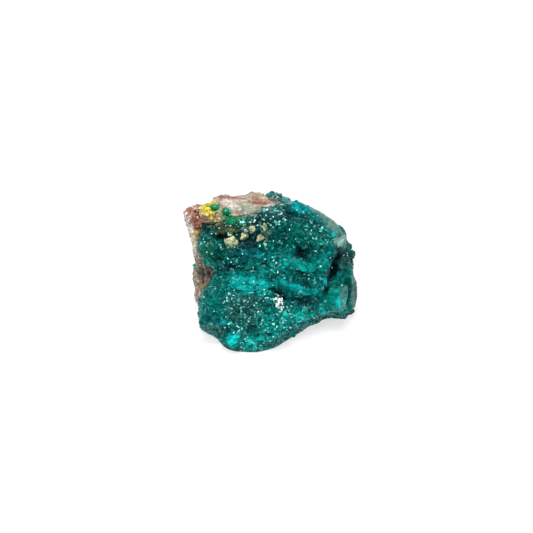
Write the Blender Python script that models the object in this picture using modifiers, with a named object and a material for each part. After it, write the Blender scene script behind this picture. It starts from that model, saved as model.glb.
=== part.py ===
"""Raw dioptase: a 28 mm chip of host rock that carries a thick crust of green dioptase.

Run it with: blender --background --python part.py

The stone rests on a flat break at z = 0. Its broad crystal face leans back, so every form is placed in the
face frame, in millimetres: u runs to the right across the face, v runs up it, and w comes straight out of it.
The last step carries each finished piece into the stone's own frame, in metres with +Z up.
"""

import math
import random

import bmesh
import bpy
from mathutils import Euler, Matrix, Vector, noise
from mathutils.bvhtree import BVHTree

MM = 0.001

# ---- how the crystal face stands on the base -------------------------------------------------------------
FACE_RISE = math.radians(35)  # the face's outward normal, above the horizon
BASE_DROP = 10.0  # from the face frame's origin straight down to the base
FROM_FACE = Vector((0, 0, 1))  # the way out of the crystal face
FROM_LEFT = Vector((-1, 0, 0.35))  # the way out of the left side
STONE_SHIFT = (-0.05, -3.27)  # moves the stone so that its box is centred over the origin

# ---- rims: the widest line of a body, as (u, v, w) points, anticlockwise from the right ---------------------
CRUST_RIM = [
    (13.3, 0.2, -5.0), (13.3, 2.4, -5.2), (12.9, 4.4, -5.0), (12.5, 5.6, -4.6), (11.8, 7.3, -4.4),
    (10.0, 8.5, -4.2), (8.6, 9.5, -4.2), (7.0, 10.5, -4.4), (5.4, 11.2, -4.6), (3.6, 11.6, -4.8),
    (1.4, 11.2, -3.6), (-1.6, 9.9, -2.6), (-2.2, 9.3, -2.2), (-4.8, 9.2, -2.0), (-6.3, 8.9, -1.8),
    (-7.9, 7.9, -1.6), (-10.7, 7.8, -1.8), (-10.9, 6.3, -2.0), (-11.6, 5.4, -2.4), (-11.6, 3.2, -2.6),
    (-11.0, 2.2, -2.6), (-10.0, 1.5, -2.2), (-9.2, 0.9, -1.8), (-9.0, -0.6, -1.6), (-9.8, -2.4, -1.8),
    (-11.1, -3.3, -2.6), (-11.4, -5.0, -3.2), (-11.5, -6.6, -3.6), (-11.3, -9.3, -3.8), (-10.0, -10.0, -3.0),
    (-8.4, -10.5, -2.2), (-7.4, -12.0, -0.4), (-6.2, -12.7, 0.6), (-3.4, -13.0, 1.1), (-1.2, -12.8, 0.8),
    (0.6, -12.4, 0.2), (3.2, -10.8, -1.8), (5.8, -9.2, -4.0), (7.9, -8.1, -5.4), (9.8, -7.5, -6.2),
    (12.2, -7.7, -6.2), (13.4, -7.3, -6.2), (13.7, -5.6, -6.4), (14.0, -4.0, -6.2), (13.9, -2.0, -5.6),
]
ROCK_RIM = [
    (9.6, 0.0, -8.0), (9.4, 4.6, -7.6), (7.2, 7.4, -7.2), (4.4, 9.0, -6.8), (2.6, 11.3, -6.0),
    (0.4, 12.6, -6.0), (-1.6, 12.8, -6.2), (-3.4, 12.6, -6.0), (-5.2, 12.3, -5.6), (-7.2, 12.2, -5.4),
    (-8.9, 11.6, -5.0), (-10.6, 10.9, -4.6), (-12.6, 10.6, -4.2), (-13.7, 10.3, -4.0), (-13.8, 9.6, -4.0),
    (-13.1, 7.2, -4.4), (-12.5, 4.8, -5.0), (-12.1, 2.8, -5.4), (-11.8, 1.4, -5.4), (-11.9, -1.2, -5.6),
    (-12.1, -2.8, -5.6), (-11.9, -4.6, -5.6), (-11.2, -6.2, -6.0), (-9.8, -8.6, -6.6), (-6.0, -9.6, -6.8),
    (0.0, -8.6, -7.4), (5.2, -6.6, -8.2), (8.8, -3.8, -8.4),
]


def along_rim(rim, angle):
    """(reach, w) where the ray at this angle from the face frame's origin meets the rim."""
    ahead = Vector((math.cos(angle), math.sin(angle)))
    for (u0, v0, w0), (u1, v1, w1) in zip(rim, rim[1:] + rim[:1]):
        turn0 = ahead.x * v0 - ahead.y * u0
        turn1 = ahead.x * v1 - ahead.y * u1
        if turn0 <= 0 < turn1 and ahead.dot(Vector((u0 + u1, v0 + v1))) > 0:
            share = turn0 / (turn0 - turn1)
            reach = math.hypot(u0 + (u1 - u0) * share, v0 + (v1 - v0) * share)
            return reach, w0 + (w1 - w0) * share
    raise ValueError("the rim doesn't go round the origin once")


# ---- the four broad surfaces: w at each (u, v) -------------------------------------------------------------
def crust_front(u, v):
    """Three broken planes that meet in low edges: the upper field, the lower left lobe and the right side."""
    upper_field = 3.0 - 0.16 * max(v - 3.0, 0.0) * 2.0
    lower_field = 3.2 + 0.10 * v
    right_side = 6.4 - 0.62 * u + 0.05 * v
    return min(upper_field, lower_field, right_side)


def crust_back(u, v):
    """The crust is a thin skin on the left and thickens to the right, where it wraps the rock."""
    return -5.0 - 0.24 * (u + 11.0)


def rock_front(u, v):
    """Bedding plane that the crust grew on, stepping back to the right."""
    return -1.6 - 0.22 * (u + 9.0)


def rock_back(u, v):
    """Rough back of the rock: three fracture planes."""
    left_break = -14.5 - 0.30 * u
    right_break = -14.0 + 0.34 * u
    upper_break = -15.5 + 0.34 * v
    return max(left_break, right_break, upper_break)


# ---- blocks fused to the crust: name, centre (u, v, w), half sizes (u, v, w), turn in degrees, corners -------
CRUST_BLOCKS = [
    ("lower_left_lobe", (-4.6, -7.0, 1.2), (6.2, 4.4, 2.5), -12, 24),
    ("lobe_knee", (-8.4, -6.6, 0.8), (2.4, 2.7, 2.6), 15, 12),
    ("lobe_crest", (-5.4, -4.4, 2.7), (2.7, 1.3, 1.5), -8, 12),
    ("lobe_shelf", (-0.8, -8.0, 2.1), (3.1, 1.9, 1.7), 24, 13),
    ("lobe_foot", (-5.6, -10.4, 1.6), (2.6, 1.8, 1.6), 8, 12),
    ("left_shoulder", (-8.5, 2.9, 0.4), (2.7, 2.2, 2.7), 20, 18),
    ("left_edge_lobe", (-9.6, -5.6, -0.6), (2.0, 3.0, 2.2), 5, 18),
    ("centre_mound", (5.2, -1.3, 1.7), (4.4, 2.3, 2.3), -16, 24),
    ("turquoise_block", (4.2, 1.6, 2.6), (3.0, 1.3, 1.5), -20, 12),
    ("turquoise_step", (8.4, 0.6, 1.6), (1.9, 2.0, 1.4), 10, 12),
    ("left_ledge", (-3.6, -1.9, 2.5), (3.2, 1.4, 1.5), -4, 14),
    ("low_ledge", (5.4, -3.6, 2.1), (3.1, 0.8, 1.4), -22, 12),
    ("upper_mound", (2.0, 7.2, 1.6), (5.2, 2.6, 1.9), -24, 22),
    ("upper_right_mound", (7.2, 5.4, 1.0), (3.0, 2.4, 1.6), 30, 16),
    ("top_block", (4.9, 10.2, -1.9), (2.3, 1.0, 1.7), -24, 12),
    ("rear_ridge", (1.6, 11.6, -6.6), (2.9, 1.2, 2.5), -10, 11),
    ("corner_block", (11.0, -4.1, -0.8), (2.6, 2.9, 2.9), 8, 14),
    ("corner_wedge", (9.3, -1.6, -0.4), (1.5, 1.4, 2.2), 30, 10),
    ("right_flank", (13.2, -2.6, -4.0), (0.9, 3.4, 2.4), 4, 14),
    ("right_knob", (13.3, 2.9, -4.6), (0.7, 0.6, 0.9), 0, 10),
    ("lower_foot", (11.4, -6.8, -4.2), (2.0, 0.9, 2.2), -6, 12),
    ("bottom_mound", (0.6, -9.6, 1.6), (3.4, 2.0, 1.5), 28, 16),
]
CRUST_PITS = [
    ("grain_pocket", (-4.2, 5.3, 3.5), (5.4, 2.0, 2.7), -4, 22),
    ("grain_pocket_left", (-8.4, 5.6, 2.0), (2.2, 1.2, 2.5), -20, 14),
    ("dark_pit", (5.8, 3.6, 3.4), (1.8, 0.8, 2.9), -24, 12),
    ("right_cavity", (10.7, 0.9, 0.4), (1.1, 3.5, 4.7), -26, 16),
    ("crevice", (1.0, -3.2, 4.2), (0.8, 2.5, 3.4), 40, 12),
    ("lower_hollow", (-4.4, -7.4, 5.8), (3.0, 1.7, 2.9), -20, 16),
    ("knee_step", (-10.6, -8.6, 4.6), (1.8, 2.2, 3.0), 20, 12),
    ("valley", (-4.8, 0.5, 4.0), (4.8, 0.8, 2.6), -5, 16),
    ("shoulder_undercut", (-9.2, -0.6, 2.6), (2.4, 1.1, 3.0), 30, 12),
    ("centre_gap", (0.0, 3.2, 4.6), (2.8, 0.7, 2.1), 30, 12),
    ("upper_gap", (3.4, 4.8, 4.4), (3.2, 0.6, 2.2), -34, 12),
]
# ---- cleavages: flat breaks across the crust's edges: a point on each and the way it faces -----------------
CRUST_CLEAVAGES = [
    ("upper_right_cleavage", (8.8, 8.3, -2.2), (0.50, 0.58, 0.64)),
    ("right_facet", (12.3, 5.0, -2.4), (0.74, 0.30, 0.60)),
    ("right_flank_cleavage", (13.4, -3.0, -3.6), (0.92, -0.12, 0.36)),
    ("rear_cleavage", (9.6, 2.0, -10.6), (0.45, 0.05, -0.89)),
    ("rear_top_cleavage", (8.0, 9.0, -7.0), (0.40, 0.66, -0.64)),
]
CLEAVAGE_REACH = 6.0  # half size of the block that each flat break takes off

# ---- blocks and pits of the rock, as for the crust ------------------------------------------------------------
ROCK_BLOCKS = [
    ("corner_lump", (-12.2, 9.2, -4.0), (1.7, 1.6, 1.6), 20, 18),
    ("top_ledge", (-3.4, 11.6, -6.2), (4.6, 1.0, 1.6), 4, 16),
    ("left_ledge", (-11.2, -1.6, -6.2), (1.0, 2.8, 2.2), 6, 16),
    ("back_block", (-3.0, 2.0, -12.4), (5.4, 4.4, 3.0), 30, 20),
    ("back_step", (4.2, -1.0, -12.0), (3.4, 3.0, 2.4), -30, 16),
]
ROCK_PITS = [
    ("back_hollow", (-8.0, 4.0, -14.0), (3.0, 3.6, 2.6), 20, 18),
    ("back_chip", (1.6, 7.4, -15.4), (3.4, 2.6, 2.6), -20, 16),
]

# ---- surfaces ------------------------------------------------------------------------------------------------
CRUST_ROUGHNESS = 0.75  # how far the crust's lumps stand off its broad planes
CRUST_LUMP = 2.4  # and how wide they are
ROCK_ROUGHNESS = 1.1
ROCK_LUMP = 3.4
RIM_CALM = 0.7  # share of its relief that a body loses at its rim
BACK_CALM = 0.9  # share of its relief that the crust keeps on its back, most of which the rock hides
RIM_FLATNESS = 4  # how late a broad surface turns down to its rim
REMESH_EDGE = 0.28  # size of the even mesh that a body is welded into before it is thinned
CRUST_FACES = 2900
ROCK_FACES = 1250
BODY_SPHERE = 5  # subdivisions of the sphere that a body is shaped from
SEAT_GAP = 0.30  # between the rock and the crust that sits in it
SOCKET_GAP = 0.15  # between a grain and its socket
SLAB = 40.0  # half size of the slab that cuts the base

# ---- druse: the small crystals that line the crust, grown in rounds, each round partly over the last -----------
DRUSE_ROUNDS = 4
CRYSTALS_IN_ROUND = 25
ROUND_SPACING = 2.0  # between the crystals of one round
CRYSTAL_RADIUS = (0.30, 0.62)
CRYSTAL_REACH = (-0.30, 0.35)  # height of the tip's foot over the crust, in crystal radii
CRYSTAL_ROOT = 2.2  # whole length of the prism below its tip, in crystal radii
CRYSTAL_LEAN = 42  # most degrees off the surface's normal
TIP_STEEPNESS = 0.95  # slope of the three faces of a crystal's tip
ROCK_CLEARANCE = 1.2  # from a crystal's root to the rock
FIELD_SHARE = 0.72  # of the crystals stand in the druse fields, the rest on any side of the crust
DRUSE_FIELDS = [  # (u, v), radius
    ((-1.0, 7.2), 3.4), ((5.6, 6.2), 3.6), ((-9.0, 3.2), 2.4), ((-4.6, 1.4), 3.0), ((-4.6, -6.4), 4.4),
    ((6.0, -1.4), 2.4), ((2.8, -7.4), 3.4), ((9.4, 2.2), 1.8), ((-9.6, -6.6), 1.8),
]
BARE_SPOTS = [  # places with broken faces and no druse
    ((4.0, 1.7), 2.0), ((10.6, -4.6), 2.7), ((9.8, 7.9), 2.2), ((-5.6, -11.1), 1.2), ((13.0, 5.6), 1.4),
]

# ---- small mineral pieces: name, (u, v, w) that the line from outside aims at, half sizes, turn in degrees -------
CREAM_GRAINS = [
    ("cream_grain_1", (-6.1, 4.7, 0.0), (1.20, 1.10, 0.95), -20),
    ("cream_grain_2", (-4.0, 5.8, 0.0), (0.62, 0.88, 0.70), -20),
    ("cream_grain_3", (-2.6, 6.9, 0.0), (0.92, 0.60, 0.62), 10),
    ("cream_grain_4", (-1.4, 5.4, 0.0), (0.68, 0.82, 0.70), -30),
    ("cream_grain_5", (-0.7, 7.2, 0.0), (0.50, 0.66, 0.56), 20),
    ("cream_grain_6", (-0.6, 4.3, 0.0), (0.42, 0.42, 0.45), 0),
]
GREEN_BEADS = [
    ("green_bead_left", (-8.8, 10.3, -4.0), (0.80, 0.74, 0.70), 10),
    ("green_bead_right", (-6.9, 9.6, -4.0), (0.70, 0.92, 0.72), 25),
]
EDGE_BEADS = [
    ("green_bead_edge", (-11.6, 1.0, -5.6), (0.50, 0.50, 0.60), 0),
]
GRAIN_CORNERS = 15
GRAIN_SINK = 0.10  # how deep a grain's centre lies in what carries it, as a share of its half thickness

# ---- materials: colour, roughness ------------------------------------------------------------------------------
FINISHES = {
    "dioptase": ((0.004, 0.155, 0.135), 0.22),
    "host_rock": ((0.46, 0.33, 0.25), 0.85),
    "cream_mineral": ((0.62, 0.60, 0.36), 0.60),
    "green_mineral": ((0.01, 0.24, 0.07), 0.35),
}


def face_to_stone():
    """From the face frame to the stone's frame, both in millimetres."""
    across = Vector((1, 0, 0))
    up = Vector((0, math.sin(FACE_RISE), math.cos(FACE_RISE)))
    out = Vector((0, -math.cos(FACE_RISE), math.sin(FACE_RISE)))
    turn = Matrix((across, up, out)).transposed().to_4x4()
    return Matrix.Translation((*STONE_SHIFT, BASE_DROP)) @ turn


FACE_TO_STONE = face_to_stone()


def clear_scene():
    for obj in list(bpy.data.objects):
        bpy.data.objects.remove(obj)


def finish_material(slot):
    colour, roughness = FINISHES[slot]
    material = bpy.data.materials.get(slot) or bpy.data.materials.new(slot)
    material.use_nodes = True
    shader = material.node_tree.nodes["Principled BSDF"]
    shader.inputs["Base Color"].default_value = (*colour, 1)
    shader.inputs["Roughness"].default_value = roughness
    material.diffuse_color = (*colour, 1)
    return material


def object_of(name, bm):
    """A new object that holds this bmesh, with its faces pointing out."""
    bmesh.ops.recalc_face_normals(bm, faces=bm.faces)
    mesh = bpy.data.meshes.new(name)
    bm.to_mesh(mesh)
    bm.free()
    obj = bpy.data.objects.new(name, mesh)
    bpy.context.scene.collection.objects.link(obj)
    return obj


def apply_modifiers(obj):
    graph = bpy.context.evaluated_depsgraph_get()
    mesh = bpy.data.meshes.new_from_object(obj.evaluated_get(graph))
    obj.modifiers.clear()
    obj.data = mesh


def combine(obj, other, operation, crossing=False):
    """Joins or cuts obj with other, which is used up. crossing is for a cutter whose own shells overlap."""
    boolean = obj.modifiers.new(operation.lower(), "BOOLEAN")
    boolean.operation = operation
    boolean.object = other
    boolean.solver = "EXACT"
    boolean.use_self = crossing
    apply_modifiers(obj)
    bpy.data.objects.remove(other)


def broken_relief(point, lump):
    """Height of broken stone at a point, about -1 to 1: flat facets, each tilted its own way, on soft swells."""
    place = point / lump
    swell = noise.fractal(place, 1.0, 2.1, 3, noise_basis="PERLIN_ORIGINAL")
    facet = noise.voronoi(place * 1.2)[1][0] / 1.2
    tilt = noise.cell_vector(facet * 5.3) - Vector((0.5, 0.5, 0.5))
    return 0.6 * swell + 1.8 * tilt.dot(place - facet)


def rim_body(name, rim, front, back, lump, depth, back_calm=1.0):
    """A body with this rim, a front and a back surface, and broken-stone relief along its normals."""
    bm = bmesh.new()
    bmesh.ops.create_icosphere(bm, subdivisions=BODY_SPHERE, radius=1.0)
    relief = {}
    for vert in bm.verts:
        polar = math.acos(max(-1.0, min(1.0, vert.co.z)))
        angle = math.atan2(vert.co.y, vert.co.x)
        reach, rim_w = along_rim(rim, angle)
        share = min(polar, math.pi - polar) / (math.pi / 2)
        u, v = reach * share * math.cos(angle), reach * share * math.sin(angle)
        on_front = polar < math.pi / 2
        broad = front(u, v) if on_front else back(u, v)
        rise = math.sqrt(1.0 - share**RIM_FLATNESS)
        vert.co = Vector((u, v, rim_w + (broad - rim_w) * rise))
        relief[vert] = depth * (1.0 if on_front else back_calm) * (1.0 - RIM_CALM * share**6)
    bm.normal_update()
    offsets = [broken_relief(vert.co, lump) * relief[vert] for vert in bm.verts]
    for vert, offset in zip(bm.verts, offsets):
        vert.co += vert.normal * offset
    return object_of(name, bm)


def block_shape(bm, centre, half, turn, corners, rng, swell=0.0):
    """Adds an angular block to bm: the hull of points spread evenly over an ellipsoid and jogged."""
    verts = []
    for n in range(corners):
        height = 1.0 - 2.0 * (n + 0.5) / corners
        round_it = n * math.pi * (3.0 - math.sqrt(5.0)) + rng.uniform(-0.35, 0.35)
        ring = math.sqrt(1.0 - height * height)
        stretch = rng.uniform(0.86, 1.12)
        point = Vector((ring * math.cos(round_it), ring * math.sin(round_it), height)) * stretch
        sized = Vector(p * (h + swell) for p, h in zip(point, half))
        verts.append(bm.verts.new(sized))
    hull = bmesh.ops.convex_hull(bm, input=verts)
    unused = [g for g in hull["geom_interior"] if isinstance(g, bmesh.types.BMVert)]
    bmesh.ops.delete(bm, geom=unused, context="VERTS")
    kept = [vert for vert in verts if vert.is_valid]
    place = Matrix.Translation(centre) @ Matrix.Rotation(math.radians(turn), 4, "Z")
    bmesh.ops.transform(bm, matrix=place, verts=kept)


def blocks(name, forms, seed):
    """All the blocks of a list, in one object whose shells may overlap."""
    rng = random.Random(seed)
    bm = bmesh.new()
    for _, centre, half, turn, corners in forms:
        block_shape(bm, centre, half, turn, corners, rng)
    return object_of(name, bm)


def cleavage(name, spot, facing):
    """A cutter whose one face is the flat break through this spot."""
    bm = bmesh.new()
    bmesh.ops.create_cube(bm, size=2 * CLEAVAGE_REACH)
    turn = facing.to_track_quat("Z", "Y").to_matrix().to_4x4()
    place = Matrix.Translation(spot + facing * CLEAVAGE_REACH)
    bmesh.ops.transform(bm, matrix=place @ turn, verts=bm.verts)
    return object_of(name, bm)


def even_out(obj, faces):
    """Welds an object's joins into one skin of even triangles, then thins it to this many faces."""
    remesh = obj.modifiers.new("remesh", "REMESH")
    remesh.mode = "VOXEL"
    remesh.voxel_size = REMESH_EDGE
    remesh.adaptivity = 0.0
    apply_modifiers(obj)
    triangles = 2 * len(obj.data.polygons)
    decimate = obj.modifiers.new("decimate", "DECIMATE")
    decimate.ratio = faces / triangles
    apply_modifiers(obj)


def crystal_template():
    """A six-sided prism of radius 1 with the three-faced tip of dioptase, its tip's lowest corners at z = 0."""
    bm = bmesh.new()
    bmesh.ops.create_cone(bm, cap_ends=True, segments=6, radius1=1.0, radius2=1.0, depth=CRYSTAL_ROOT)
    bmesh.ops.translate(bm, verts=bm.verts, vec=(0, 0, -CRYSTAL_ROOT / 2))
    top = max(bm.faces, key=lambda face: face.calc_center_median().z)
    high_corners = list(top.verts)[::2]
    tip = bmesh.ops.poke(bm, faces=[top])["verts"][0]
    tip.co.z += TIP_STEEPNESS
    for corner in high_corners:
        corner.co.z += TIP_STEEPNESS / 2
    mesh = bpy.data.meshes.new("crystal_template")
    bm.to_mesh(mesh)
    bm.free()
    return mesh


def tree_of(obj):
    bm = bmesh.new()
    bm.from_mesh(obj.data)
    tree = BVHTree.FromBMesh(bm)
    bm.free()
    return tree


def bare(u, v):
    return any(math.hypot(u - spot[0], v - spot[1]) < radius for spot, radius in BARE_SPOTS)


def line_to_crust(rng):
    """Start and aim of a line onto a druse field, or now and then onto any side of the crust."""
    turn, share = rng.uniform(0, 2 * math.pi), math.sqrt(rng.random())
    if rng.random() < FIELD_SHARE:
        (u, v), radius = rng.choice(DRUSE_FIELDS)
        aim = Vector((u + radius * share * math.cos(turn), v + radius * share * math.sin(turn), 0))
        return aim + FROM_FACE * SLAB, aim
    reach, rim_w = along_rim(CRUST_RIM, turn)
    aim = Vector((reach * share * math.cos(turn), reach * share * math.sin(turn), rim_w))
    return aim * 1.6 + FROM_FACE * 16, aim


def druse_round(crust, rock_tree, rng):
    """One round of crystals rooted in the crust's outer side, so far apart that they don't meet."""
    crust_tree = tree_of(crust)
    template = crystal_template()
    bm = bmesh.new()
    taken = []
    while len(taken) < CRYSTALS_IN_ROUND:
        start, aim = line_to_crust(rng)
        spot, normal, _, _ = crust_tree.ray_cast(start, aim - start)
        if spot is None or bare(spot.x, spot.y) or rock_tree.find_nearest(spot)[3] < ROCK_CLEARANCE:
            continue
        if any((spot - other).length < ROUND_SPACING for other in taken):
            continue
        taken.append(spot)
        lean = Euler([math.radians(rng.uniform(-CRYSTAL_LEAN, CRYSTAL_LEAN)) for _ in range(2)] + [0])
        axis = lean.to_matrix() @ normal
        radius = rng.uniform(*CRYSTAL_RADIUS)
        place = Matrix.Translation(spot + axis * radius * rng.uniform(*CRYSTAL_REACH))
        turn = axis.to_track_quat("Z", "X").to_matrix().to_4x4()
        spin = Matrix.Rotation(rng.uniform(0, math.pi), 4, "Z")
        before = len(bm.verts)
        bm.from_mesh(template)
        bm.verts.ensure_lookup_table()
        grown = bm.verts[before:]
        bmesh.ops.transform(bm, matrix=place @ turn @ spin @ Matrix.Scale(radius, 4), verts=grown)
    bpy.data.meshes.remove(template)
    return object_of("druse", bm)


def cut_base(obj):
    """Cuts the flat base on which the stone rests, with a slab whose top is the plane z = 0."""
    bm = bmesh.new()
    bmesh.ops.create_cube(bm, size=2 * SLAB)
    bmesh.ops.translate(bm, verts=bm.verts, vec=(0, 0, -SLAB))
    slab = object_of("base_slab", bm)
    slab.data.transform(FACE_TO_STONE.inverted())
    combine(obj, slab, "DIFFERENCE")


def drop_splinters(obj):
    """Takes away any chip that a cut has left loose, and keeps the main body."""
    bm = bmesh.new()
    bm.from_mesh(obj.data)
    unseen = set(bm.verts)
    shells = []
    while unseen:
        shell, edge_of_it = set(), [next(iter(unseen))]
        while edge_of_it:
            vert = edge_of_it.pop()
            if vert in shell:
                continue
            shell.add(vert)
            edge_of_it.extend(edge.other_vert(vert) for edge in vert.link_edges)
        unseen -= shell
        shells.append(shell)
    main_body = max(shells, key=len)
    splinters = [vert for vert in bm.verts if vert not in main_body]
    bmesh.ops.delete(bm, geom=splinters, context="VERTS")
    bm.to_mesh(obj.data)
    bm.free()


def grown_copy(obj, gap):
    """A cutter that stands off obj by this gap."""
    mesh = obj.data.copy()
    moved = [vert.co + vert.normal * gap for vert in mesh.vertices]
    for vert, place in zip(mesh.vertices, moved):
        vert.co = place
    cutter = bpy.data.objects.new("grown_copy", mesh)
    bpy.context.scene.collection.objects.link(cutter)
    return cutter


def crust_body():
    crust = rim_body(
        "dioptase_crust", CRUST_RIM, crust_front, crust_back, CRUST_LUMP, CRUST_ROUGHNESS, BACK_CALM
    )
    combine(crust, blocks("crust_blocks", CRUST_BLOCKS, 3), "UNION", crossing=True)
    combine(crust, blocks("crust_pits", CRUST_PITS, 4), "DIFFERENCE", crossing=True)
    for name, spot, facing in CRUST_CLEAVAGES:
        combine(crust, cleavage(name, Vector(spot), Vector(facing).normalized()), "DIFFERENCE")
    even_out(crust, CRUST_FACES)
    return crust


def rock_body(crust):
    """The host rock, with the seat that the crust grew in."""
    rock = rim_body("host_rock", ROCK_RIM, rock_front, rock_back, ROCK_LUMP, ROCK_ROUGHNESS)
    combine(rock, blocks("rock_blocks", ROCK_BLOCKS, 5), "UNION", crossing=True)
    combine(rock, blocks("rock_pits", ROCK_PITS, 6), "DIFFERENCE", crossing=True)
    even_out(rock, ROCK_FACES)
    combine(rock, grown_copy(crust, SEAT_GAP), "DIFFERENCE", crossing=True)
    return rock


def grow_druse(crust, rock):
    rng = random.Random(12)
    rock_tree = tree_of(rock)
    for _ in range(DRUSE_ROUNDS):
        combine(crust, druse_round(crust, rock_tree, rng), "UNION")


def grain(name, aim, half, turn, carrier, outward, seed):
    """A grain sunk in its carrier, and the socket that it leaves there."""
    foot = tree_of(carrier).ray_cast(Vector(aim) + outward * SLAB, -outward)[0]
    centre = foot - outward.normalized() * GRAIN_SINK * half[2]
    made = []
    for part_name, swell in ((name, 0.0), ("socket", SOCKET_GAP)):
        bm = bmesh.new()
        block_shape(bm, centre, half, turn, GRAIN_CORNERS, random.Random(seed), swell)
        made.append(object_of(part_name, bm))
    piece, socket = made
    combine(carrier, socket, "DIFFERENCE")
    return piece


def main():
    clear_scene()
    crust = crust_body()
    rock = rock_body(crust)
    grow_druse(crust, rock)
    finished = [(rock, "host_rock"), (crust, "dioptase")]
    for forms, carrier, outward, slot in (
        (CREAM_GRAINS, crust, FROM_FACE, "cream_mineral"),
        (GREEN_BEADS, rock, FROM_FACE, "green_mineral"),
        (EDGE_BEADS, rock, FROM_LEFT, "green_mineral"),
    ):
        for seed, (name, aim, half, turn) in enumerate(forms):
            finished.append((grain(name, aim, half, turn, carrier, outward, seed), slot))
    for body in (rock, crust):
        cut_base(body)
        drop_splinters(body)
    for obj, slot in finished:
        obj.data.transform(Matrix.Scale(MM, 4) @ FACE_TO_STONE)
        obj.data.materials.append(finish_material(slot))


main()
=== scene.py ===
import math

import bmesh
import bpy
import numpy as np
from mathutils import Matrix, Vector, noise
from mathutils.bvhtree import BVHTree


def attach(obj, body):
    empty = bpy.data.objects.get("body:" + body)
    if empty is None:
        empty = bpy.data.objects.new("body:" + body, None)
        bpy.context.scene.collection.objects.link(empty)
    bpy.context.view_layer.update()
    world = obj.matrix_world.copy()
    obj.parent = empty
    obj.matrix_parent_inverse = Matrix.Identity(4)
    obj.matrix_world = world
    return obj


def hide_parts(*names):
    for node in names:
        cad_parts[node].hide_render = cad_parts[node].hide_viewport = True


# The looks of a chip of raw dioptase: a thick crust of green crystals on pinkish-tan host rock.
# Lengths are in millimetres until a mesh is finished, and places on the stone are in its face frame: u to the
# right across the broad crystal face, v up it and w straight out of it. Angles in tables are in degrees.
# A zone of the face is a row of its middle (u, v), its half sizes, its turn and its strength, mostly 0 to 1.

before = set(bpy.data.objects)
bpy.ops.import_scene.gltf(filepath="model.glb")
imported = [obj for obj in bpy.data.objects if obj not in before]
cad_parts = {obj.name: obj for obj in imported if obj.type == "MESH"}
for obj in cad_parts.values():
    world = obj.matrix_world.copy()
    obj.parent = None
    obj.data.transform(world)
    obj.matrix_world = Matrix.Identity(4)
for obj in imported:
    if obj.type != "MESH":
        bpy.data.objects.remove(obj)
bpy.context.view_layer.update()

MM = 0.001
FACE_RISE = math.radians(35)  # the crystal face's normal above the horizon, as in the frame
FACE_ORIGIN = Vector((-0.05, -3.27, 10.0))
FACE_AXES = Matrix(
    (
        (1, 0, 0),
        (0, math.sin(FACE_RISE), math.cos(FACE_RISE)),
        (0, -math.cos(FACE_RISE), math.sin(FACE_RISE)),
    )
)
TO_FACE = np.array(FACE_AXES)
FROM_FACE = FACE_AXES.transposed()
DRAWS = np.random.default_rng(7)


def to_face(points):
    """Stone frame to face frame, for an array of points in millimetres."""
    return (points - np.array(FACE_ORIGIN)) @ TO_FACE.T


def from_face(place):
    """A face-frame place in the stone frame, in metres."""
    return (FROM_FACE @ Vector(place) + FACE_ORIGIN) * MM


def smooth_step(low, high, value):
    share = np.clip((value - low) / (high - low), 0.0, 1.0)
    return share * share * (3.0 - 2.0 * share)


def unit(vectors):
    return vectors / np.maximum(np.linalg.norm(vectors, axis=1, keepdims=True), 1e-12)


def rotated(across, along, degrees):
    cosine, sine = math.cos(math.radians(degrees)), math.sin(math.radians(degrees))
    return across * cosine - along * sine, across * sine + along * cosine


def chosen(mask, *arrays):
    return tuple(rows[mask] for rows in arrays)


# ---- meshes ----
def read(items, key, kind=np.float32):
    """Three numbers for each item of a mesh."""
    flat = np.empty(len(items) * 3, kind)
    items.foreach_get(key, flat)
    return flat.reshape(-1, 3)


def points_of(mesh):
    return read(mesh.vertices, "co").astype(float)


def normals_of(mesh):
    return read(mesh.vertex_normals, "vector").astype(float)


def triangles_of(mesh):
    mesh.calc_loop_triangles()
    return read(mesh.loop_triangles, "vertices", np.int32)


def set_points(mesh, points):
    mesh.vertices.foreach_set("co", points.astype(np.float32).ravel())
    mesh.update()


def new_object(name, mesh):
    piece = bpy.data.objects.new(name, mesh)
    bpy.context.scene.collection.objects.link(piece)
    return piece


WELD = 1e-4  # in millimetres


def welded_copy(name, *nodes):
    """The meshes of CAD nodes as closed skins in millimetres, in a new object."""
    bm = bmesh.new()
    for node in nodes:
        bm.from_mesh(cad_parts[node].data)
    bmesh.ops.scale(bm, vec=(1 / MM,) * 3, verts=bm.verts)
    bmesh.ops.remove_doubles(bm, verts=bm.verts, dist=WELD)
    mesh = bpy.data.meshes.new(name)
    bm.to_mesh(mesh)
    bm.free()
    return new_object(name, mesh)


def remeshed_copy(name, voxel, *nodes):
    """The same with an even, fine mesh."""
    piece = welded_copy(name, *nodes)
    modifier = piece.modifiers.new("remesh", "REMESH")
    modifier.mode = "VOXEL"
    modifier.voxel_size = voxel
    graph = bpy.context.evaluated_depsgraph_get()
    mesh = bpy.data.meshes.new_from_object(piece.evaluated_get(graph))
    piece.modifiers.clear()
    piece.data = mesh
    return piece


SHARP_EDGE = math.radians(22)


def smooth_faces(mesh):
    """Smooth shading inside each crystal face, with its edges kept sharp."""
    mesh.shade_smooth()
    mesh.set_sharp_from_angle(angle=SHARP_EDGE)


def paint(mesh, colours):
    """Stores a linear colour at each point, for the material to read."""
    layer = mesh.color_attributes.new("tint", "FLOAT_COLOR", "POINT")
    rgba = np.ones((len(colours), 4), np.float32)
    rgba[:, :3] = colours
    layer.data.foreach_set("color", rgba.ravel())


def mark_detail(mesh, detail):
    """Stores at each point how far the material breaks its colour up into small crystal faces."""
    layer = mesh.attributes.new("detail", "FLOAT", "POINT")
    layer.data.foreach_set("value", detail.astype(np.float32))


SEED_STEP = (3.7, 1.9, 5.3)  # how far a seed moves the noise
FRACTAL = (0.9, 2.0)  # how fast finer octaves fade, and how much finer each is


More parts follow.
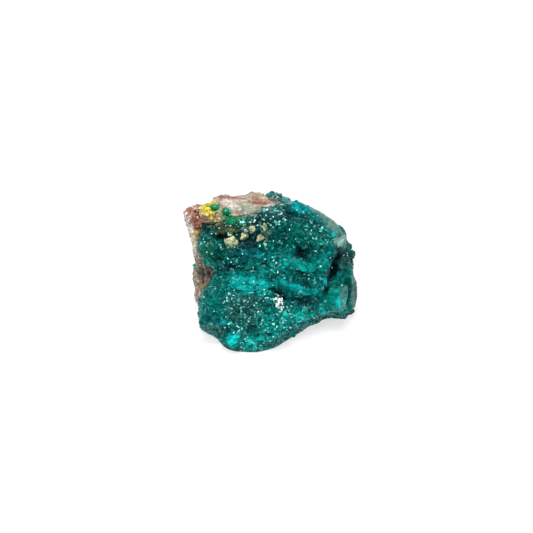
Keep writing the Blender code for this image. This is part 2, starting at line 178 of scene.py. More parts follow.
def field(points, size, seed, octaves=3):
    """Soft noise, about -1 to 1, with lumps of this size."""
    shift = Vector([seed * step for step in SEED_STEP])
    spots = (Vector(point) / size + shift for point in points)
    return np.array([noise.fractal(spot, *FRACTAL, octaves, noise_basis="PERLIN_ORIGINAL") for spot in spots])


HASH_MIX = np.array(((12.9898, 39.3461, 26.6514), (78.2330, 11.1353, 53.8722), (37.7190, 83.1551, 64.1237)))
HASH_SPREAD = 43758.5453
HASH_SALTS = (0.0, 5.0, 9.0)
CELL_STEP = (2.31, 4.17, 1.73)  # how far a seed moves the crystals
TOP_SPREAD = 0.45  # how much higher some crystals stand, in sizes
TOP_LIFT = 0.14  # brings the mean height near zero
TONE_OF_CRYSTAL, TONE_OF_SIDE = 0.55, 0.45
SIDE_SHIFT = 0.37  # sets opposite sides of a crystal apart in tone


def cell_draws(cells, salt):
    """Three steady random numbers, 0 to 1, for each cell centre."""
    return np.mod(np.sin((cells + salt) @ HASH_MIX) * HASH_SPREAD, 1.0)


def crystal_relief(points, size, seed):
    """Relief of intergrown blocky crystals of this size, each turned its own way.

    Gives the height, about -0.5 to 0.5 of size, the tone of each crystal face, about -0.5 to 0.5, and the
    middle of the crystal that each point is on."""
    shift = np.array([seed * step for step in CELL_STEP])
    spots = points / size + shift
    cells = np.array([[near[:] for near in noise.voronoi(Vector(spot))[1]] for spot in spots])
    away = spots[:, None, :] - cells
    tops, lean, roll = (cell_draws(cells, salt) for salt in HASH_SALTS)
    first = lean - 0.5
    first /= np.linalg.norm(first, axis=2, keepdims=True)
    second = np.cross(first, roll - 0.5)
    second /= np.maximum(np.linalg.norm(second, axis=2, keepdims=True), 1e-9)
    sides = np.stack([first, second, np.cross(first, second)], axis=2)
    reach = np.einsum("nfj,nfkj->nfk", away, sides)
    heights = TOP_SPREAD * tops[:, :, 0] - np.abs(reach).max(axis=2)
    rows = np.arange(len(points))
    best = heights.argmax(axis=1)
    side = np.abs(reach[rows, best]).argmax(axis=1)
    facing = reach[rows, best, side] > 0
    shade = np.mod(roll[rows, best, side] + SIDE_SHIFT * facing, 1.0)
    tone = TONE_OF_CRYSTAL * tops[rows, best, 1] + TONE_OF_SIDE * shade - 0.5
    return heights[rows, best] + TOP_LIFT, tone, (cells[rows, best] - shift) * size


def tree_of(mesh):
    return BVHTree.FromPolygons([tuple(point) for point in points_of(mesh)], triangles_of(mesh).tolist())


def distances(tree, points):
    return np.array([tree.find_nearest(Vector(point))[3] for point in points])


FAR_OUT = 20.0  # a level w well clear of the crystal face


def on_the_face(tree, rows):
    """Where straight lines down onto the crystal face, at the (u, v) each row starts with, meet a mesh.

    Gives the places and the mesh's normals there, and the rows that have one."""
    inward = FROM_FACE @ Vector((0, 0, -1))
    hits = [tree.ray_cast(FROM_FACE @ Vector((*row[:2], FAR_OUT)) + FACE_ORIGIN, inward) for row in rows]
    found = [(hit[0][:], hit[1][:], row) for hit, row in zip(hits, rows) if hit[0] is not None]
    return tuple(np.array(part) for part in zip(*found))


# ---- colours, linear ----
TEAL = np.array((0.002, 0.165, 0.150))
GREEN_TEAL = np.array((0.002, 0.210, 0.165))
MID_TEAL = np.array((0.002, 0.290, 0.255))
TURQUOISE = np.array((0.002, 0.420, 0.370))
CYAN = np.array((0.002, 0.430, 0.440))
BRIGHT_CYAN = np.array((0.006, 0.640, 0.600))
BLUE_TEAL = np.array((0.002, 0.110, 0.140))
DARK_GREEN = np.array((0.001, 0.060, 0.050))
NAVY = np.array((0.002, 0.022, 0.040))
BLACK_GREEN = np.array((0.001, 0.008, 0.010))
BLUE_GREY = np.array((0.030, 0.110, 0.115))
GREY_TEAL = np.array((0.050, 0.230, 0.205))
# painted sheen of a flat cleaved face turned to the light
FACET_SHEEN = np.array((0.270, 0.450, 0.395))
# painted sheen: grey of bright surroundings mirrored in cleaved faces
CLEAVED_SHEEN = np.array((0.130, 0.240, 0.210))
# pale colours, also of the painted glints
PALE_TEAL = np.array((0.160, 0.600, 0.550))
WHITE = np.array((0.60, 0.86, 0.85))
LEAF_GREEN = np.array((0.004, 0.220, 0.075))
LEAF_SHADE = np.array((0.02, 0.08, 0.05))
DULL_GREEN = np.array((0.17, 0.31, 0.24))
SPECK_GREEN = np.array((0.30, 0.50, 0.34))
GOLD = np.array((0.36, 0.33, 0.09))
OLIVE = np.array((0.170, 0.150, 0.020))
GRAIN_PALE = np.array((0.62, 0.62, 0.40))
GRAIN_GREEN = np.array((0.52, 0.64, 0.50))
ROCK_WHITE = np.array((0.90, 0.84, 0.75))
FOOT_GREEN = np.array((0.36, 0.44, 0.37))
FOOT_GREY = np.array((0.50, 0.50, 0.44))

# ---- the crust's patches of colour, later over earlier: colour and zone; some are painted shade, painted glow or painted sheen ----
CRUST_PATCHES = {
    # painted shade over the upper field
    "upper_field_shade": (DARK_GREEN, (1.2, 6.8), (5.2, 2.6), 0, 0.50),
    "upper_middle": (GREEN_TEAL, (4.6, 6.4), (1.5, 1.9), 0, 0.55),
    "upper_shade": (DARK_GREEN * 0.8, (8.0, 7.0), (1.5, 0.9), -30, 0.80),
    "middle_shade": (DARK_GREEN * 0.8, (2.2, 3.9), (1.5, 0.7), 20, 0.40),
    "upper_right": (GREEN_TEAL, (8.6, 5.2), (2.4, 1.5), 0, 0.50),
    "upper_druse": (BLUE_GREY, (-0.6, 9.0), (3.8, 1.2), 6, 0.80),
    "upper_navy": (NAVY, (4.3, 9.3), (2.0, 0.7), -8, 0.85),
    "top_patch": (CYAN * 1.1, (4.9, 10.6), (1.8, 0.9), -20, 0.95),
    "top_edge": (TURQUOISE, (2.4, 11.3), (1.2, 0.35), 8, 0.7),
    "right_teal": (TURQUOISE, (10.2, 6.4), (1.2, 0.5), -20, 0.75),
    # painted sheen on the cleaved strip along the upper right edge
    "cleavage_left_sheen": (CLEAVED_SHEEN * 1.1, (7.9, 9.9), (2.2, 0.55), -38, 0.85),
    "cleavage_right_sheen": (CLEAVED_SHEEN * 1.3, (10.0, 7.9), (2.3, 0.8), -40, 0.95),
    # painted sheen on the flat cleaved facet
    "facet_sheen": (FACET_SHEEN, (11.6, 4.9), (1.1, 0.9), 45, 1.0),
    "ridge_tip": (TURQUOISE, (0.0, 12.2), (0.8, 0.5), -10, 0.8),
    "ridge": (DARK_GREEN, (1.9, 12.2), (1.2, 0.6), -20, 0.7),
    "rock_end": (ROCK_WHITE, (1.1, 11.15), (1.4, 0.38), -4, 1.0),
    "rock_foot": (FOOT_GREEN, (-3.1, 9.1), (1.3, 0.32), -6, 0.80),
    "rock_foot_right": (FOOT_GREY, (-0.7, 10.2), (1.3, 0.26), 24, 0.85),
    # the pocket round the cream grains: the crust's own dark green there, with painted shade in the recess
    "pocket_floor_shade": (DARK_GREEN * 0.6, (-5.0, 5.8), (4.6, 2.0), -4, 0.88),
    "pocket_left_shade": (BLACK_GREEN, (-7.0, 5.8), (2.2, 0.55), -4, 0.97),
    "pocket_right_shade": (BLUE_GREY * 0.45, (-4.0, 4.8), (2.1, 0.9), -8, 0.88),
    "pocket_top_shade": (BLACK_GREEN, (-2.0, 7.9), (2.2, 0.45), 14, 0.80),
    "grain_foot": (GRAIN_PALE, (-6.1, 4.1), (0.60, 0.45), 0, 0.90),
    "pocket_grains": (GRAIN_GREEN, (-3.7, 6.8), (0.60, 0.38), 0, 0.90),
    "pocket_lip": (NAVY * 1.2, (-3.1, 3.9), (0.9, 0.4), 0, 0.90),
    "pocket_end": (DULL_GREEN, (-0.3, 6.1), (0.5, 0.5), 0, 0.75),
    "olive_stain": (OLIVE * 0.35, (-7.2, 7.0), (2.3, 0.8), -6, 0.85),
    "leaf_patch": (LEAF_GREEN, (-5.6, 8.4), (2.0, 0.8), -10, 0.85),
    # painted shade on the crust under the rock
    "under_rock_shade": (BLACK_GREEN, (-9.8, 7.3), (1.5, 0.7), 0, 0.90),
    "shoulder": (LEAF_GREEN * 0.8, (-9.9, 3.2), (1.5, 2.0), 10, 0.60),
    "shoulder_side": (DARK_GREEN, (-6.3, 3.3), (2.4, 1.1), -10, 0.75),
    # painted shade under the shoulder and along the valley below it
    "shoulder_foot_shade": (BLACK_GREEN, (-8.0, 2.0), (1.4, 0.45), -12, 0.85),
    "valley": (NAVY * 1.5, (-6.4, 1.1), (1.7, 0.5), -10, 0.60),
    "valley_top": (BLUE_TEAL, (-3.2, 2.7), (2.6, 0.9), 6, 0.60),
    "ledge": (TURQUOISE * 0.6 + CYAN * 0.5, (-3.1, -1.9), (3.7, 1.6), -6, 0.93),
    "ledge_west": (TURQUOISE * 1.2, (-6.7, -2.6), (1.0, 0.8), 0, 0.85),
    "ledge_low": (BRIGHT_CYAN, (-4.0, -3.2), (1.2, 0.5), -8, 0.75),
    "ledge_crest": (BRIGHT_CYAN, (-2.2, -1.5), (1.6, 0.4), -12, 0.45),
    # painted shade in the dip between the ledge and the low ledge
    "between_ledges_shade": (DARK_GREEN, (0.2, -1.2), (0.8, 0.8), 0, 0.65),
    "block": (TURQUOISE * 0.95, (4.3, 1.25), (2.4, 0.9), -22, 0.95),
    "block_top": (TURQUOISE * 0.8, (3.0, 2.7), (0.6, 0.5), 0, 0.65),
    # painted shade in the pit
    "dark_pit": (BLACK_GREEN, (5.1, 2.55), (1.35, 0.75), -34, 0.97),
    "plateau": (MID_TEAL * 0.9, (7.7, 0.7), (2.0, 1.5), -20, 0.80),
    "plateau_blue": (BLUE_TEAL, (7.8, -0.8), (0.9, 0.6), 0, 0.70),
    "mound": (DARK_GREEN, (5.2, -0.6), (1.8, 1.5), -14, 0.80),
    "low_ledge": (CYAN, (3.9, -2.4), (2.7, 0.6), -26, 0.92),
    "step": (TURQUOISE * 1.15, (8.0, -3.0), (0.9, 0.85), 20, 0.90),
    "crevice_left": (TURQUOISE * 1.1, (0.2, -2.9), (0.7, 0.8), 0, 0.85),
    # painted shade in the crevice and on the ground round the nest of glints
    "crevice": (BLACK_GREEN, (2.1, -3.6), (1.25, 0.5), -50, 0.97),
    "nest_shade": (BLACK_GREEN, (1.9, -4.4), (0.8, 0.9), 24, 0.70),
    "nest_foot": (MID_TEAL, (1.8, -6.4), (1.4, 0.6), 0, 0.75),
    # painted shade in a band below the low ledge
    "under_ledge_shade": (NAVY, (5.6, -4.5), (2.4, 0.75), -8, 0.92),
    # painted shade in the deep cavity on the right
    "cavity": (BLUE_GREY * 0.80, (12.1, 2.3), (1.9, 1.9), -20, 0.90),
    "cavity_top_shade": (NAVY, (11.7, 3.3), (1.0, 0.7), -10, 0.85),
    "cavity_rim": (TURQUOISE * 1.05, (9.8, 3.5), (0.6, 0.9), -20, 0.85),
    "notch_rim": (PALE_TEAL * 0.9, (-9.4, 1.1), (0.6, 0.45), 0, 0.85),
    # painted highlight along the ridge at the top edge
    "ridge_highlight": (PALE_TEAL * 1.3, (2.5, 12.0), (0.8, 0.25), -10, 0.85),
    # painted shade in the cavity's lower part
    "cavity_low_shade": (BLACK_GREEN * 2.0, (10.3, 0.5), (0.90, 2.5), -26, 0.94),
    "flank": (DARK_GREEN * 1.2, (13.1, -2.9), (1.05, 3.2), 4, 0.95),
    "flank_top": (MID_TEAL, (13.0, 0.1), (0.6, 0.8), 0, 0.60),
    "corner": (MID_TEAL * 1.15, (10.6, -4.8), (2.6, 2.4), 0, 0.85),
    "corner_green": (GREEN_TEAL * 0.8, (10.0, -2.6), (1.2, 1.0), 0, 0.80),
    "corner_edge": (BLUE_TEAL, (12.2, -5.4), (0.8, 0.25), -10, 0.70),
    # painted glow of light through the translucent corner, here and in the next row
    "corner_glow": (BRIGHT_CYAN, (11.8, -4.7), (0.8, 0.8), 0, 0.90),
    "corner_low_glow": (BRIGHT_CYAN, (8.9, -6.3), (1.0, 0.6), 20, 0.80),
    "foot": (GREY_TEAL * 0.7, (12.0, -7.1), (1.8, 0.5), 6, 0.85),
    "lower_grey": (GREY_TEAL * 0.62, (-3.9, -5.9), (3.2, 2.8), -20, 0.65),
    "lower_core": (DARK_GREEN * 0.5, (-4.3, -6.2), (1.2, 0.9), 0, 0.65),
    "knee_blue": (CYAN, (-7.2, -8.0), (0.8, 0.5), 10, 0.95),
    "leaf_streak": (LEAF_GREEN * 1.3, (-6.3, 8.9), (1.0, 0.35), -40, 0.80),
    "leaf_pale": (LEAF_SHADE, (-4.4, 8.0), (1.0, 0.40), -10, 0.75),
    "knee_shade": (BLACK_GREEN, (-6.8, -9.3), (1.0, 0.45), 0, 0.70),
    "corner_patch": (BRIGHT_CYAN, (-5.8, -11.0), (1.0, 1.1), 10, 1.0),
    "navy_spot": (NAVY * 1.4, (0.2, -5.1), (0.7, 0.4), 0, 0.95),
    "low_navy": (NAVY, (-2.7, -8.9), (0.9, 0.7), 20, 0.70),
    "low_teal": (MID_TEAL * 1.1, (0.5, -8.2), (1.5, 2.5), 20, 0.70),
    "low_right": (TURQUOISE * 1.1, (4.6, -6.8), (2.8, 1.2), 12, 0.75),
    "bottom": (TURQUOISE, (-3.0, -11.9), (1.3, 0.6), 0, 0.60),
    "bottom_bright": (TURQUOISE * 1.3, (-2.9, -10.6), (1.3, 0.7), -10, 0.80),
    "bottom_grey": (GREY_TEAL * 0.6, (0.6, -11.5), (1.6, 0.45), 20, 0.60),
}
# ---- fine specks among the crust's crystals: colour and zone ----
CRUST_SPECKS = [
    (GOLD, (-7.4, 6.9), (2.2, 1.0), -6, 0.85),
    (SPECK_GREEN, (-4.6, 7.9), (1.8, 0.9), -10, 0.80),
]
SPECK_NOISE = (0.55, 14, 2)  # size, seed and octaves
SPECK_SPAN = (0.16, 0.36)  # noise from none to full
# ---- where many of the small crystals are pale: pale crystals and painted glints; strength is the share that is pale ----
GLITTER = [
    ((1.5, -4.9), (0.9, 1.4), 20, 0.75),
    ((-0.4, 8.6), (3.4, 1.7), 6, 0.34),
    ((2.4, 6.4), (2.4, 2.0), 0, 0.17),
    ((6.8, 7.0), (2.0, 1.2), -20, 0.22),
    ((-4.0, -5.9), (3.4, 3.0), -20, 0.26),
    ((-5.0, -9.2), (2.2, 0.7), -16, 0.50),
    ((4.0, -6.6), (3.2, 1.6), 10, 0.35),
    ((0.6, -9.0), (2.6, 2.6), 20, 0.24),
    ((-3.4, -12.0), (2.6, 0.8), 0, 0.40),
    ((-2.8, -1.9), (3.6, 1.6), -6, 0.18),
    ((-5.2, 1.2), (3.4, 1.2), -10, 0.22),
    ((-7.6, 3.9), (2.6, 1.6), 0, 0.26),
    ((-4.4, 6.4), (4.0, 1.4), 0, 0.24),
    ((5.4, -0.4), (2.4, 1.8), -14, 0.17),
    ((1.4, 0.6), (1.8, 2.2), 0, 0.16),
]
GLITTER_ELSEWHERE = 0.02
# ---- broken or cleaved faces with few crystals; strength is the share of crystals left out ----
BARE = [
    ((3.8, 1.7), (2.0, 0.8), -16, 0.90),
    ((3.9, -2.4), (2.7, 0.5), -26, 0.80),
    ((-3.2, -1.7), (3.2, 1.1), -8, 0.45),
    ((10.8, -4.6), (2.5, 2.6), 6, 0.97),
    ((9.8, -2.4), (1.4, 1.0), 6, 0.5),
    ((13.2, -2.8), (1.0, 3.8), 4, 1.0),
    ((7.7, 9.8), (2.1, 0.8), -38, 1.0),
    ((10.4, 7.6), (2.7, 1.1), -36, 1.0),
    ((11.7, 5.0), (1.3, 1.1), 40, 1.0),
    ((-5.8, -11.0), (1.0, 1.0), 10, 1.0),
    ((4.9, 10.4), (1.6, 0.9), -20, 0.70),
    ((1.4, 11.9), (3.4, 0.9), -10, 0.90),
    ((-0.7, 10.2), (1.2, 0.3), 24, 0.80),
    ((8.0, 1.0), (2.0, 1.9), 0, 0.70),
    ((-9.4, -6.0), (1.8, 3.6), 0, 0.65),
    ((-9.8, 3.0), (1.4, 1.8), 0, 0.55),
    ((4.6, 6.4), (1.2, 1.7), 0, 0.60),
    ((10.9, 1.4), (1.6, 3.4), -24, 0.75),
]
# ---- deep or stained places with few pale crystals and painted glints ----
DULL = [
    ((-5.2, 6.2), (4.4, 2.0), -4, 0.75),
    ((-3.1, 3.8), (1.0, 0.6), 0, 0.90),
    ((-8.3, 2.2), (2.0, 0.9), -12, 0.7),
    ((10.8, 1.4), (1.4, 3.2), -28, 0.8),
    ((5.1, 3.1), (1.4, 1.0), -35, 0.9),
    ((1.6, -3.2), (1.0, 1.3), 30, 0.8),
    ((-2.7, -9.5), (1.2, 1.0), 20, 0.6),
    ((5.6, -4.5), (2.4, 0.7), -6, 0.6),
    ((4.3, 9.3), (2.2, 0.8), -8, 0.5),
    ((0.0, -5.3), (1.0, 0.7), 0, 0.7),
]
PATCH_EDGE = 0.40  # how wide a zone's edge fades, as a share of its size
PATCH_RAGGED = 0.45  # and how far noise pushes that edge about
PATCH_DEPTH = (1.6, 1.2)  # how deep a zone reaches: in millimetres, and as a share of its larger half size
DEEP_FADE = 1.8  # depth at which it has faded out, in that depth
STONE_NODES = ("dioptase_crust", "host_rock")
LEVELS = {}


def make_stone_tree():
    piece = welded_copy("stone", *(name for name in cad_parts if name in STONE_NODES))
    tree = tree_of(piece.data)
    bpy.data.objects.remove(piece)
    return tree


STONE_TREE = make_stone_tree()


def level_under(centre):
    """The level w of the stone's surface under a place (u, v), or of the surface nearest to that place."""
    if centre not in LEVELS:
        hits = on_the_face(STONE_TREE, [centre])
        if hits:
            spot = hits[0]
        else:
            spot = np.array([STONE_TREE.find_nearest(Vector(from_face((*centre, 0.0))) / MM)[0][:]])
        LEVELS[centre] = to_face(spot)[0, 2]
    return LEVELS[centre]


def zone_weight(places, centre, half, turn, ragged=0.0):
    """How much of a zone covers each face-frame place, 0 to 1."""
    depth = PATCH_DEPTH[0] + PATCH_DEPTH[1] * max(half)
    deep = smooth_step(depth, DEEP_FADE * depth, np.abs(places[:, 2] - level_under(centre)))
    across, along = rotated(places[:, 0] - centre[0], places[:, 1] - centre[1], -turn)
    reach = np.hypot(across / half[0], along / half[1]) + PATCH_RAGGED * ragged
    return (1.0 - smooth_step(1.0 - PATCH_EDGE, 1.0 + PATCH_EDGE, reach)) * (1.0 - deep)


def strongest(places, zones, ragged=0.0):
    weight = np.zeros(len(places))
    for *zone, strength in zones:
        weight = np.maximum(weight, strength * zone_weight(places, *zone, ragged))
    return weight


def mixed(colours, other, weight):
    return colours + (other - colours) * np.clip(weight, 0.0, 1.0)[:, None]


def patched(colours, places, ragged, patches, share):
    """Colours with patches of other colours over them, as far as their strength and this share say."""
    for colour, *zone, strength in patches:
        colours = mixed(colours, colour, strength * share * zone_weight(places, *zone, ragged))
    return colours


def ragged_noise(places, layers):
    """Noise that pushes zones' edges about, from layers of strength, size, seed and octaves."""
    return sum(strength * field(places, *layer) for strength, *layer in layers)


BARE_NOISE = (1.3, 2, 2)  # size, seed and octaves
DULL_NOISE = (1.0, 3, 2)


def bare_share(places):
    return strongest(places, BARE, field(places, *BARE_NOISE))


FRONT = (-9.0, -6.0)  # w over which the patches of the face set in
CRUST_RAGGED = ((0.7, 1.2, 2, 2), (0.5, 0.45, 3, 1))
BROAD_NOISE = (3.0, 5, 2)  # size, seed and octaves of the crust's broad change from dark to bright
BROAD_SHARE, BROAD_SLOPE = 0.55, 1.6
CRUST_LEVEL = 0.68
# painted shading: the crust is darker the higher up the face it is
CRUST_FADE = 0.017  # how much darker the crust is for each millimetre up the face
CRUST_TONE = 1.5
BRIGHTEST = 0.85


def crust_colours(points, tone):
    """The crust's colour at points in millimetres. tone, about -0.5 to 0.5, makes each darker or brighter."""
    places = to_face(points)
    ragged = ragged_noise(places, CRUST_RAGGED)
    broad = field(places, *BROAD_NOISE)
    on_face = smooth_step(*FRONT, places[:, 2])
    colours = np.tile(TEAL, (len(points), 1))
    colours = mixed(colours, DARK_GREEN, BROAD_SHARE * np.clip(-broad * BROAD_SLOPE, 0, 1))
    colours = mixed(colours, MID_TEAL, BROAD_SHARE * np.clip(broad * BROAD_SLOPE, 0, 1))
    colours = patched(colours, places, ragged, CRUST_PATCHES.values(), on_face)
    specks = smooth_step(*SPECK_SPAN, field(places, *SPECK_NOISE))
    colours = patched(colours, places, ragged, CRUST_SPECKS, on_face * specks)
    # the level holds the painted shading up the face and each point's tone
    level = CRUST_LEVEL * (1.0 - CRUST_FADE * places[:, 1]) * np.exp(CRUST_TONE * tone)
    colours = colours * level[:, None]
    return np.clip(colours, 0.0, BRIGHTEST)


# ---- materials ----
GREEN_GLINT = (0.15, 1.0, 0.94, 1.0)
DEEP_GLINT = (0.05, 0.90, 0.84, 1.0)
PALE_GLINT = (0.60, 1.0, 0.96, 1.0)
BEAD_GLINT = (0.5, 1.0, 0.8, 1.0)
DIOPTASE_IOR = 1.65
MOTTLE_SPAN = (0.32, 0.68)  # noise from darkest to brightest
FACE_STRETCH = 1.8  # length of a broken face against its width
FACE_TURNS = ((20, 35, 50), (-50, 10, -40))
PALEST_FACE = 0.75
GRAIN_DRIFT = (0.7, 1.6)  # how packed grains are pushed out of shape: scale and reach, in their own size
GRAIN_GAP = (0.30, 0.75)  # distance from a grain's middle, from its colour to the gap's, in its own size


def new_material(name):
    material = bpy.data.materials.new(name)
    material.use_nodes = True
    return material


def set_inputs(material, node, inputs):
    """Sets a node's inputs, each to a plain value or to another node's output."""
    for key, value in inputs.items():
        if isinstance(value, bpy.types.NodeSocket):
            material.node_tree.links.new(value, node.inputs[key])
        else:
            node.inputs[key].default_value = value


def shaded(material, inputs):
    """The material, with these inputs of its shader."""
    set_inputs(material, material.node_tree.nodes["Principled BSDF"], inputs)
    return material


def add_node(material, kind, inputs, **settings):
    """The outputs of a new node."""
    node = material.node_tree.nodes.new("ShaderNode" + kind)
    for key, value in settings.items():
        setattr(node, key, value)
    set_inputs(material, node, inputs)
    return node.outputs


def painted(material, name):
    return add_node(material, "Attribute", {}, attribute_name=name)


def place_on(material):
    return add_node(material, "TexCoord", {})["Object"]


def product(material, first, second):
    return add_node(material, "Math", {0: first, 1: second}, operation="MULTIPLY")["Value"]


def scaled(material, colour, factor):
    return add_node(material, "VectorMath", {0: colour, "Scale": factor}, operation="SCALE")["Vector"]


def ranged(material, value, start, stop, low, high):
    inputs = {"Value": value, "From Min": start, "From Max": stop, "To Min": low, "To Max": high}
    return add_node(material, "MapRange", inputs)["Result"]


def lumps(material, size, **inputs):
    """Noise with lumps of this size."""
    inputs = {"Vector": place_on(material), "Scale": 1.0 / (size * MM), **inputs}
    return add_node(material, "TexNoise", inputs)


def mottled(material, size, low, high):
    """The painted tint, with fine mottling of this size between two brightnesses."""
    noisy = lumps(material, size, Detail=4.0, Roughness=0.6)["Fac"]
    level = ranged(material, noisy, *MOTTLE_SPAN, low, high)
    return scaled(material, painted(material, "tint")["Color"], level)


def broken_faces(material, size, turn):
    """Three random numbers for each broken crystal face of this size, drawn out along one direction."""
    inputs = {
        "Vector": place_on(material),
        "Rotation": [math.radians(angle) for angle in turn],
        "Scale": (1 / (size * FACE_STRETCH * MM), 1 / (size * MM), 1 / (size * MM)),
    }
    turned = add_node(material, "Mapping", inputs)["Vector"]
    faces = add_node(material, "TexVoronoi", {"Vector": turned, "Scale": 1.0})
    return add_node(material, "SeparateColor", {"Color": faces["Color"]})


def shattered(material, sizes, low, high, pale, varied=False):
    """The painted tint, broken up into small crystal faces between two brightnesses, a share of them pale.

    Where varied is set, this goes only as far as the mesh's own detail says."""
    first, second = (broken_faces(material, size, turn) for size, turn in zip(sizes, FACE_TURNS))
    levels = (ranged(material, faces["Red"], 0.0, 1.0, low, high) for faces in (first, second))
    level = product(material, *levels)
    share = ranged(material, second["Green"], 1.0 - pale, 1.0, 0.0, PALEST_FACE)
    if varied:
        detail = painted(material, "detail")["Fac"]
        level = add_node(material, "Mix", {0: detail, 2: 1.0, 3: level})[0]
        share = product(material, share, detail)
    colour = scaled(material, painted(material, "tint")["Color"], level)
    return add_node(material, "Mix", {0: share, 6: colour, 7: (*PALE_TEAL, 1.0)}, data_type="RGBA")[2]


def grained(material, mottle, size, low, high, gap):
    """The mottled tint, broken up into packed grains between two brightnesses, with darker gaps."""
    colour = mottled(material, *mottle)
    drift = lumps(material, size / GRAIN_DRIFT[0])["Color"]
    inputs = {0: drift, 1: (GRAIN_DRIFT[1] * size * MM,) * 3, 2: place_on(material)}
    pushed = add_node(material, "VectorMath", inputs, operation="MULTIPLY_ADD")["Vector"]
    grains = add_node(material, "TexVoronoi", {"Vector": pushed, "Scale": 1.0 / (size * MM)})
    parts = add_node(material, "SeparateColor", {"Color": grains["Color"]})
    level = ranged(material, parts["Red"], 0.0, 1.0, low, high)
    gaps = ranged(material, grains["Distance"], *GRAIN_GAP, 1.0, gap)
    return scaled(material, colour, product(material, level, gaps))


def relief(material, size, height, detail):
    """Normals of fine surface relief, from noise of this size and height."""
    inputs = {"Height": lumps(material, size, Detail=detail)["Fac"], "Distance": height * MM, "Strength": 1.0}
    return add_node(material, "Bump", inputs)["Normal"]


SHINE = ("Roughness", "IOR", "Specular IOR Level")
SCATTERING = ("Subsurface Weight", "Subsurface Radius", "Subsurface Scale")
# how the tint is broken up, the relief's size, height and detail, the shine, the scattering, other inputs
STONES = {
    "dioptase_mass_stone": (
        (shattered, (0.55, 0.30), 0.50, 1.55, 0.12, True),
        (0.20, 0.035, 2.0),
        (0.30, DIOPTASE_IOR, 0.10),
        (0.25, (0.1, 1.0, 0.9), 0.18 * MM),
        {"Specular Tint": DEEP_GLINT},
    ),
    "dioptase_crystal": (
        (mottled, 0.5, 0.80, 1.22),
        (),
        (0.14, DIOPTASE_IOR, 0.25),
        (),
        {"Specular Tint": GREEN_GLINT, "Transmission Weight": 0.25},
    ),
    "dioptase_broken": (
        (shattered, (0.7, 0.35), 0.66, 1.36, 0.08),
        (),
        (0.32, DIOPTASE_IOR, 0.10),
        (),
        {"Specular Tint": GREEN_GLINT, "Transmission Weight": 0.10},
    ),
    "dioptase_cleaved": (
        (mottled, 0.3, 0.80, 1.15),
        (),
        (0.20, DIOPTASE_IOR, 0.45),
        (),
        {"Specular Tint": PALE_GLINT},
    ),
    "matrix_rock": (
        (grained, (0.25, 0.75, 1.25), 0.40, 0.84, 1.20, 0.80),
        (0.14, 0.12, 6.0),
        (0.80, 1.5, 0.3),
        (),
        {},
    ),
    "cream_mineral_stone": (
        (mottled, 0.3, 0.70, 1.20),
        (0.12, 0.05, 4.0),
        (0.45, 1.5, 0.4),
        (0.2, (1.0, 0.9, 0.6), 0.2 * MM),
        {},
    ),
    "green_mineral_stone": (
        (mottled, 0.4, 0.65, 1.35),
        (0.2, 0.04, 3.0),
        (0.22, 1.6, 0.4),
        (0.3, (0.1, 1.0, 0.4), 0.3 * MM),
        {"Specular Tint": BEAD_GLINT},
    ),
}


def stone(name):
    """The material of this row."""
    (broken_up, *settings), bumps, shine, scattering, others = STONES[name]
    material = new_material(name)
    inputs = {"Base Color": broken_up(material, *settings), **others}
    inputs.update(zip(SHINE, shine))
    inputs.update(zip(SCATTERING, scattering))
    if bumps:
        inputs["Normal"] = relief(material, *bumps)
    return shaded(material, inputs)


# ---- where the camera and the lamps are ----
IMAGE = 533
MM_PER_PIXEL = 0.16092
AIM = (-0.40, 0.885)  # face-frame (u, v) in the middle of the picture
LENS = 180.0
SENSOR = 36.0
CAMERA_DISTANCE = IMAGE * MM_PER_PIXEL * LENS / SENSOR  # in millimetres, from the aim
CAMERA_PLACE = from_face((*AIM, CAMERA_DISTANCE))
# name: azimuth and elevation in degrees, distance and width in metres, radiance
LIGHTS = {
    "key": (-25, 70, 0.60, 0.30, 9.0),
    "side": (125, 22, 0.60, 0.40, 0.8),
}
SPARKS = (
    ((-150, 50), (-105, 35), (-62, 58), (-38, 28), (-8, 80))
    + ((22, 45), (50, 66), (82, 34), (120, 55), (165, 62))
)  # azimuth and elevation of the small lamps that the cleaved faces mirror
SPARK_DISTANCE = 0.50
SPARK_WIDTH = 0.04
SPARK_RADIANCE = 68.0
LAMP_CENTRE = Vector((0, 0, 0.01))


def towards(azimuth, elevation):
    turn, rise = math.radians(azimuth), math.radians(elevation)
    return Vector((math.sin(turn) * math.cos(rise), -math.cos(turn) * math.cos(rise), math.sin(rise)))


def spark_places():
    return np.array([(towards(*spark) * SPARK_DISTANCE + LAMP_CENTRE) / MM for spark in SPARKS])


# ---- the green mass ----
SKIN_VOXEL = 0.16
SKIN_LIFT = 0.09  # how far the skin stands off its solid
WIDE_CRYSTALS = (1.5, 1)  # the skin's larger crystals: size and seed
WIDE_HEIGHT, WIDE_TONE = 0.55, 0.40  # shares of their height and tone that show
SMALL_CRYSTALS = (0.75, 2)
SMALL_HEIGHT, SMALL_TONE = 0.40, 0.55
SKIN_MOTTLE, MOTTLE_TONE = (0.5, 8, 2), 0.10
BARE_FLAT = 0.6  # how much flatter and plainer the skin is on a bare face
BARE_CLOSED = 0.7  # and how far the gaps between its crystals close
BARE_DETAIL = 0.65
GAP_START, GAP_MOST, GAP_SHADE = -0.08, 0.4, 3.0
OWN_COLOUR = 0.25  # a point takes its colour this far from the middle of its crystal towards itself
RIM_SHADE, RIM_SPAN = 0.40, (0.0, 0.25)  # how much darker the crust is round its edge, as seen from its front
BASE_CALM = (0.02, 0.7)  # height over which the fine relief sets in above the flat base
